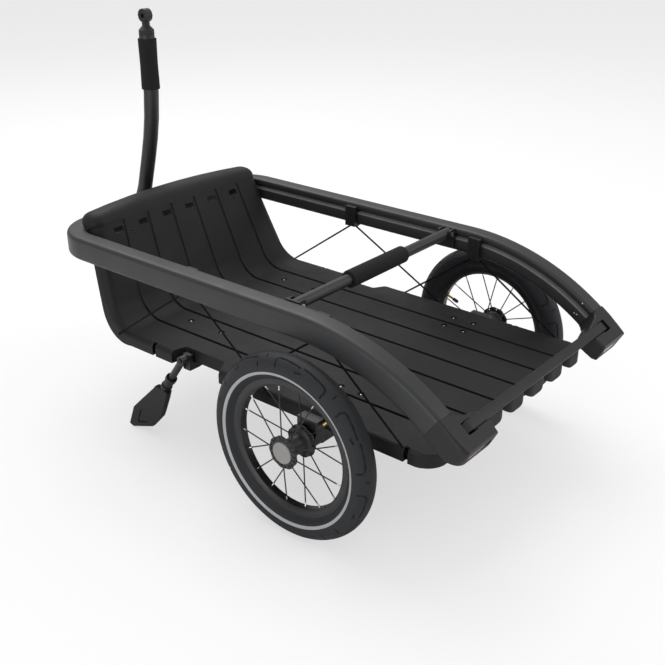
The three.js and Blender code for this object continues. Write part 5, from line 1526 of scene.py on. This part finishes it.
def screw_tree():
    """One screw on every point, turned to the way that the point faces."""
    inputs = [("Screw", "Object"), ("Scale", "Float"), ("Material", "Material")]
    tree, given, result = node_tree("Screws on points", inputs)
    nodes, links = tree.nodes, tree.links
    screw = nodes.new("GeometryNodeObjectInfo")
    links.new(given.outputs["Screw"], screw.inputs["Object"])
    facing = nodes.new("GeometryNodeInputNamedAttribute")
    facing.data_type = "FLOAT_VECTOR"
    facing.inputs["Name"].default_value = "facing"
    align = nodes.new("FunctionNodeAlignRotationToVector")
    align.axis = "Z"
    links.new(facing.outputs["Attribute"], align.inputs["Vector"])
    copies = nodes.new("GeometryNodeInstanceOnPoints")
    links.new(given.outputs["Geometry"], copies.inputs["Points"])
    links.new(screw.outputs["Geometry"], copies.inputs["Instance"])
    links.new(align.outputs["Rotation"], copies.inputs["Rotation"])
    links.new(given.outputs["Scale"], copies.inputs["Scale"])
    finish_tree(tree, copies.outputs["Instances"], given, result)
    return tree


def screws(name, places, radius, finish, slot="bright_steel"):
    """Screws at (point, facing) pairs, as one mesh on the chassis."""
    mesh = bpy.data.meshes.new(name)
    mesh.from_pydata([tuple(point) for point, _ in places], [], [])
    facing = mesh.attributes.new("facing", "FLOAT_VECTOR", "POINT")
    facing.data.foreach_set("vector", [c for _, way in places for c in way])
    piece = bpy.data.objects.new(name, mesh)
    bpy.context.scene.collection.objects.link(piece)
    shape = screw_shape()
    material = finish_of(finish)
    grown(piece, screw_tree(), Screw=shape, Scale=radius, Material=material)
    bpy.data.objects.remove(shape)
    return finished(piece, material, "chassis", slot=slot, sharp=35)


class TRAILER_OT_tray(bpy.types.Operator):
    """Load tray: one moulding with sunk grooves, notched flanges, tongues and a rolled front panel"""

    bl_idname = "trailer.tray"
    bl_label = "Load tray"

    def execute(self, context):
        tray = tray_body(sizes("tray"))
        rear = tongue_outline()
        plan = [(-1000, -330), (244.9, -330)] + rear + [(244.9, 330), (-1000, 330)]
        carved(tray, [plan_slab("clip", plan, 100, 700)], "INTERSECT")
        back = [(238, -HALF_FLOOR)] + rear + [(238, HALF_FLOOR)]
        strip = plan_slab("strip", back, FLANGE_FOOT, FLANGE_TOP, 0.8, 2)
        inner = [(200, -307)] + list(inset(rear, 4)) + [(200, 307)]
        carved(strip, [plan_slab("inner", inner, 200, 300)])
        carved(strip, [self.arches()])
        carved(tray, [strip], "UNION")
        self.recesses(tray)
        self.pockets(tray)
        self.openings(tray)
        cleaned(tray.data)
        finished(tray, finish_of("tray_plastic"), "chassis", "load_tray",
                 slot="tray_plastic", sharp=34, even=True)
        self.fixings()
        return {"FINISHED"}

    def arches(self):
        """What is cut from below the rear flange, so that it is deepest in the middle of each tongue."""
        cutters = []
        for g in range(6):
            y = groove_y(g)
            outline = [(y - 40, FLANGE_FOOT - 7)]
            for k in range(25):
                share = math.cos(math.pi * k / 24)
                rise = 23 * (1 - math.sqrt(1 - (1 - abs(share)) ** 2))
                outline.append((y - 40 * share, FLANGE_FOOT + rise))
            outline.append((y + 40, FLANGE_FOOT - 7))
            cutters.append(slab("arch", outline, 262, 320, place=lambda y, z, x: spot(x, y, z)))
        return joined_mesh("arches", cutters)

    def recesses(self, tray):
        """Walled cut-out in each side, over the stand."""
        for _, side in SIDES:
            cut = across(recess_outline(0), side)
            carved(tray, [plan_slab("recess", cut, 150, 300)])
            wall = plan_slab("wall", across(recess_outline(4), side), FLANGE_FOOT, FLANGE_TOP)
            carved(wall, [plan_block("keep", (-487, -200), (side * 309, side * 200), (0, 1000))], "INTERSECT")
            carved(wall, [plan_slab("recess", cut, 150, 300)])
            carved(tray, [wall], "UNION")

    def pockets(self, tray):
        """Closed pocket behind every notch of the flanges."""
        for pocket, operation in ((POCKET_OUTSIDE, "UNION"), (POCKET_INSIDE, "DIFFERENCE")):
            grow, (near, far), heights = pocket
            boxes = []
            for _, side in SIDES:
                ys = side * near, side * far
                boxes += [plan_block("pocket", (x - grow, x + grow), ys, heights) for x in NOTCHES]
            carved(tray, [joined_mesh("pockets", boxes)], operation)

    def openings(self, tray):
        """Notches in the flanges, screw holes with their counterbores, and the slots in the panel."""
        cutters = []
        down, aside = PANEL_SCREW
        for _, side in SIDES:
            for x in NOTCHES:
                plan = rounded([(x - 5, -320), (x + 5, -320), (x + 5, -300, 3), (x - 5, -300, 3)], 5)
                cutters.append(plan_slab("notch", across(plan, side), 200, 300))
            for x, y in [(x, side * y) for x, y in FLOOR_SCREWS]:
                cutters.append(rod("hole", spot(x, y, 240), spot(x, y, 256.5), 0.0045, 28))
                cutters.append(rod("counterbore", spot(x, y, 255.4), spot(x, y, 262), 0.0078, 32))
            inside, outside = panel_point(down, side * aside, -8), panel_point(down, side * aside, 4)
            cutters.append(rod("hole", inside, outside, 0.0042, 24))
        for g in range(6):
            y = 0.9 * groove_y(g)
            slot = rounded([(y - 34, 13, 2), (y - 6, 13, 2), (y - 6, 26, 2), (y - 34, 26, 2)], 3)
            cutters.append(panel_slab("slot", slot, -12, 6))
        carved(tray, [joined_mesh("openings", cutters)])

    def fixings(self):
        """Screws of the floor with near-black discs under them as painted shade in their counterbores, and
        the screws of the panel.
        """
        spots = [(x, side * y) for _, side in SIDES for x, y in FLOOR_SCREWS]
        up = Vector((0, 0, 1))
        places = [(spot(x, y, 256.2), up) for x, y in spots]
        screws("tray_floor_screws", places, FLOOR_SCREW_RADIUS, "bright_steel")
        # Near-black discs under the floor's screws: painted shade standing in for the dark of the
        # counterbores.
        disc = [(0.0, 0.0), (0.0074, 0.0), (0.0074, 0.0006), (0.0, 0.0006)]
        shade_discs = [turned("washer", disc, 32, spot(x, y, 255.5), "Z") for x, y in spots]
        finished(joined_mesh("tray_floor_washers", shade_discs), finish_of("cord"), "chassis",
                 slot="hub_metal", sharp=35)
        down, aside = PANEL_SCREW
        face = Vector((PANEL_FACE[0], 0, PANEL_FACE[1]))
        places = [(panel_point(down, side * aside, -0.8), face) for _, side in SIDES]
        screws("tray_panel_screws", places, PANEL_SCREW_RADIUS, "dark_steel", slot="hub_metal")


# Stage, in millimetres behind the axle, to the right and above the ground

CAMERA_PLACE = (1111, -1606, 1243)
CAMERA_AIM = (-166.4, -45.5, 283.4)
LAMP_AIM = (-166, 0, 250)

# Name, place, size in metres, power in watts and colour.
LAMPS = (
    ("key", (-2300, 900, 3900), 3.6, 112, (1.0, 0.99, 0.975)),
    ("side", (300, -4300, 900), 2.6, 54, (0.97, 0.985, 1.0)),
    ("rear", (3600, 2300, 2600), 3.0, 60, (1.0, 1.0, 1.0)),
)

# How strongly the surroundings light the trailer, at the horizon and above.
DOME_STRENGTH = (0.40, 0.76)

# Share of plain white in what the camera sees of the floor.
FLOOR_LIFT = 0.58


class TRAILER_OT_stage(bpy.types.Operator):
    """Camera at the photograph's angle, soft lights, pale floor and white surroundings"""

    bl_idname = "trailer.stage"
    bl_label = "Studio"

    def execute(self, context):
        s = sizes("stage")
        self.camera(s)
        self.floor(s)
        self.world()
        for name, place, size, power, colour in LAMPS:
            lamp = bpy.data.lights.new(name, "AREA")
            lamp.shape = "SQUARE"
            lamp.size = size
            lamp.energy = power
            lamp.color = colour
            self.aimed(lamp, place, LAMP_AIM)
        context.scene.view_settings.view_transform = "Standard"
        return {"FINISHED"}

    def aimed(self, data, place, aim):
        """Lamp or camera set at a place and turned to another."""
        holder = bpy.data.objects.new(data.name, data)
        holder.location = spot(*place)
        way = spot(*aim) - holder.location
        holder.rotation_euler = way.to_track_quat("-Z", "Y").to_euler()
        bpy.context.scene.collection.objects.link(holder)
        return holder

    def camera(self, s):
        """Camera at the photograph's viewing angle."""
        camera = bpy.data.cameras.new("photo_view")
        camera.lens = s.lens
        camera.sensor_width = 36
        bpy.context.scene.camera = self.aimed(camera, CAMERA_PLACE, CAMERA_AIM)

    def floor(self, s):
        """Pale floor that keeps the trailer's shadow."""
        half = s.floor_size
        mesh = bpy.data.meshes.new("studio_floor")
        corners = [(-half, -half, 0), (half, -half, 0), (half, half, 0), (-half, half, 0)]
        mesh.from_pydata(corners, [], [(0, 1, 2, 3)])
        floor = bpy.data.objects.new("studio_floor", mesh)
        bpy.context.scene.collection.objects.link(floor)
        material, nodes, links, shader = finish_nodes("studio_floor")
        shader.inputs["Base Color"].default_value = (*sizes("finishes").floor, 1)
        shader.inputs["Roughness"].default_value = 1.0
        shader.inputs["Specular IOR Level"].default_value = 0.0
        self.lift(nodes, links, shader)
        mesh.materials.append(material)

    def lift(self, nodes, links, shader):
        """For the camera alone, part of the floor is plain white, so that its shadow stays pale."""
        white = nodes.new("ShaderNodeEmission")
        white.inputs["Strength"].default_value = 1.0
        path = nodes.new("ShaderNodeLightPath")
        part = nodes.new("ShaderNodeMath")
        part.operation = "MULTIPLY"
        part.inputs[1].default_value = FLOOR_LIFT
        links.new(path.outputs["Is Camera Ray"], part.inputs[0])
        mix = nodes.new("ShaderNodeMixShader")
        links.new(part.outputs[0], mix.inputs["Fac"])
        links.new(shader.outputs[0], mix.inputs[1])
        links.new(white.outputs[0], mix.inputs[2])
        links.new(mix.outputs[0], nodes["Material Output"].inputs["Surface"])

    def world(self):
        """Even white surroundings; the camera sees them plain white."""
        world = bpy.data.worlds.new("studio")
        bpy.context.scene.world = world
        world.use_nodes = True
        nodes, links = world.node_tree.nodes, world.node_tree.links
        light = nodes["Background"]
        light.inputs["Color"].default_value = (1, 1, 1, 1)
        coordinates = nodes.new("ShaderNodeTexCoord")
        split = nodes.new("ShaderNodeSeparateXYZ")
        links.new(coordinates.outputs["Generated"], split.inputs[0])
        dome = nodes.new("ShaderNodeMapRange")
        dome.inputs["From Min"].default_value = 0.0
        dome.inputs["From Max"].default_value = 0.9
        dome.inputs["To Min"].default_value, dome.inputs["To Max"].default_value = DOME_STRENGTH
        links.new(split.outputs["Z"], dome.inputs["Value"])
        links.new(dome.outputs["Result"], light.inputs["Strength"])
        white = nodes.new("ShaderNodeBackground")
        white.inputs["Color"].default_value = (1, 1, 1, 1)
        white.inputs["Strength"].default_value = 1.0
        path = nodes.new("ShaderNodeLightPath")
        mix = nodes.new("ShaderNodeMixShader")
        links.new(path.outputs["Is Camera Ray"], mix.inputs["Fac"])
        links.new(light.outputs[0], mix.inputs[1])
        links.new(white.outputs[0], mix.inputs[2])
        links.new(mix.outputs[0], nodes["World Output"].inputs["Surface"])


OPERATORS = (
    TRAILER_OT_stage,
    TRAILER_OT_cords,
    TRAILER_OT_tyres,
    TRAILER_OT_wheels,
    TRAILER_OT_rail,
    TRAILER_OT_caps,
    TRAILER_OT_tray,
    TRAILER_OT_handle,
    TRAILER_OT_underframe,
    TRAILER_OT_stands,
    TRAILER_OT_drawbar,
)
GROUPS = {
    "wheels": TrailerWheelSizes,
    "rail": TrailerRailSizes,
    "tray": TrailerTraySizes,
    "rods": TrailerRodSizes,
    "finishes": TrailerFinishes,
    "stage": TrailerStageSizes,
}


class TRAILER_PT_panel(bpy.types.Panel):
    """Lists the steps that build the trailer, and its sizes"""

    bl_idname = "TRAILER_PT_panel"
    bl_label = "Cargo bike trailer"
    bl_space_type = "VIEW_3D"
    bl_region_type = "UI"
    bl_category = "Trailer"

    def draw(self, context):
        for operator in OPERATORS:
            self.layout.operator(operator.bl_idname)
        for name, group in GROUPS.items():
            box = self.layout.box()
            box.label(text=name.capitalize())
            for field in group.__annotations__:
                box.prop(sizes(name), field)


CLASSES = (*GROUPS.values(), *OPERATORS, TRAILER_PT_panel)


def register():
    for cls in CLASSES:
        bpy.utils.register_class(cls)
    for name, group in GROUPS.items():
        setattr(bpy.types.Scene, "trailer_" + name, PointerProperty(type=group))


def unregister():
    for name in GROUPS:
        delattr(bpy.types.Scene, "trailer_" + name)
    for cls in reversed(CLASSES):
        bpy.utils.unregister_class(cls)


def main():
    """Builds the trailer."""
    register()
    for operator in OPERATORS:
        getattr(bpy.ops.trailer, operator.bl_idname.split(".")[1])()


if __name__ == "__main__":
    main()
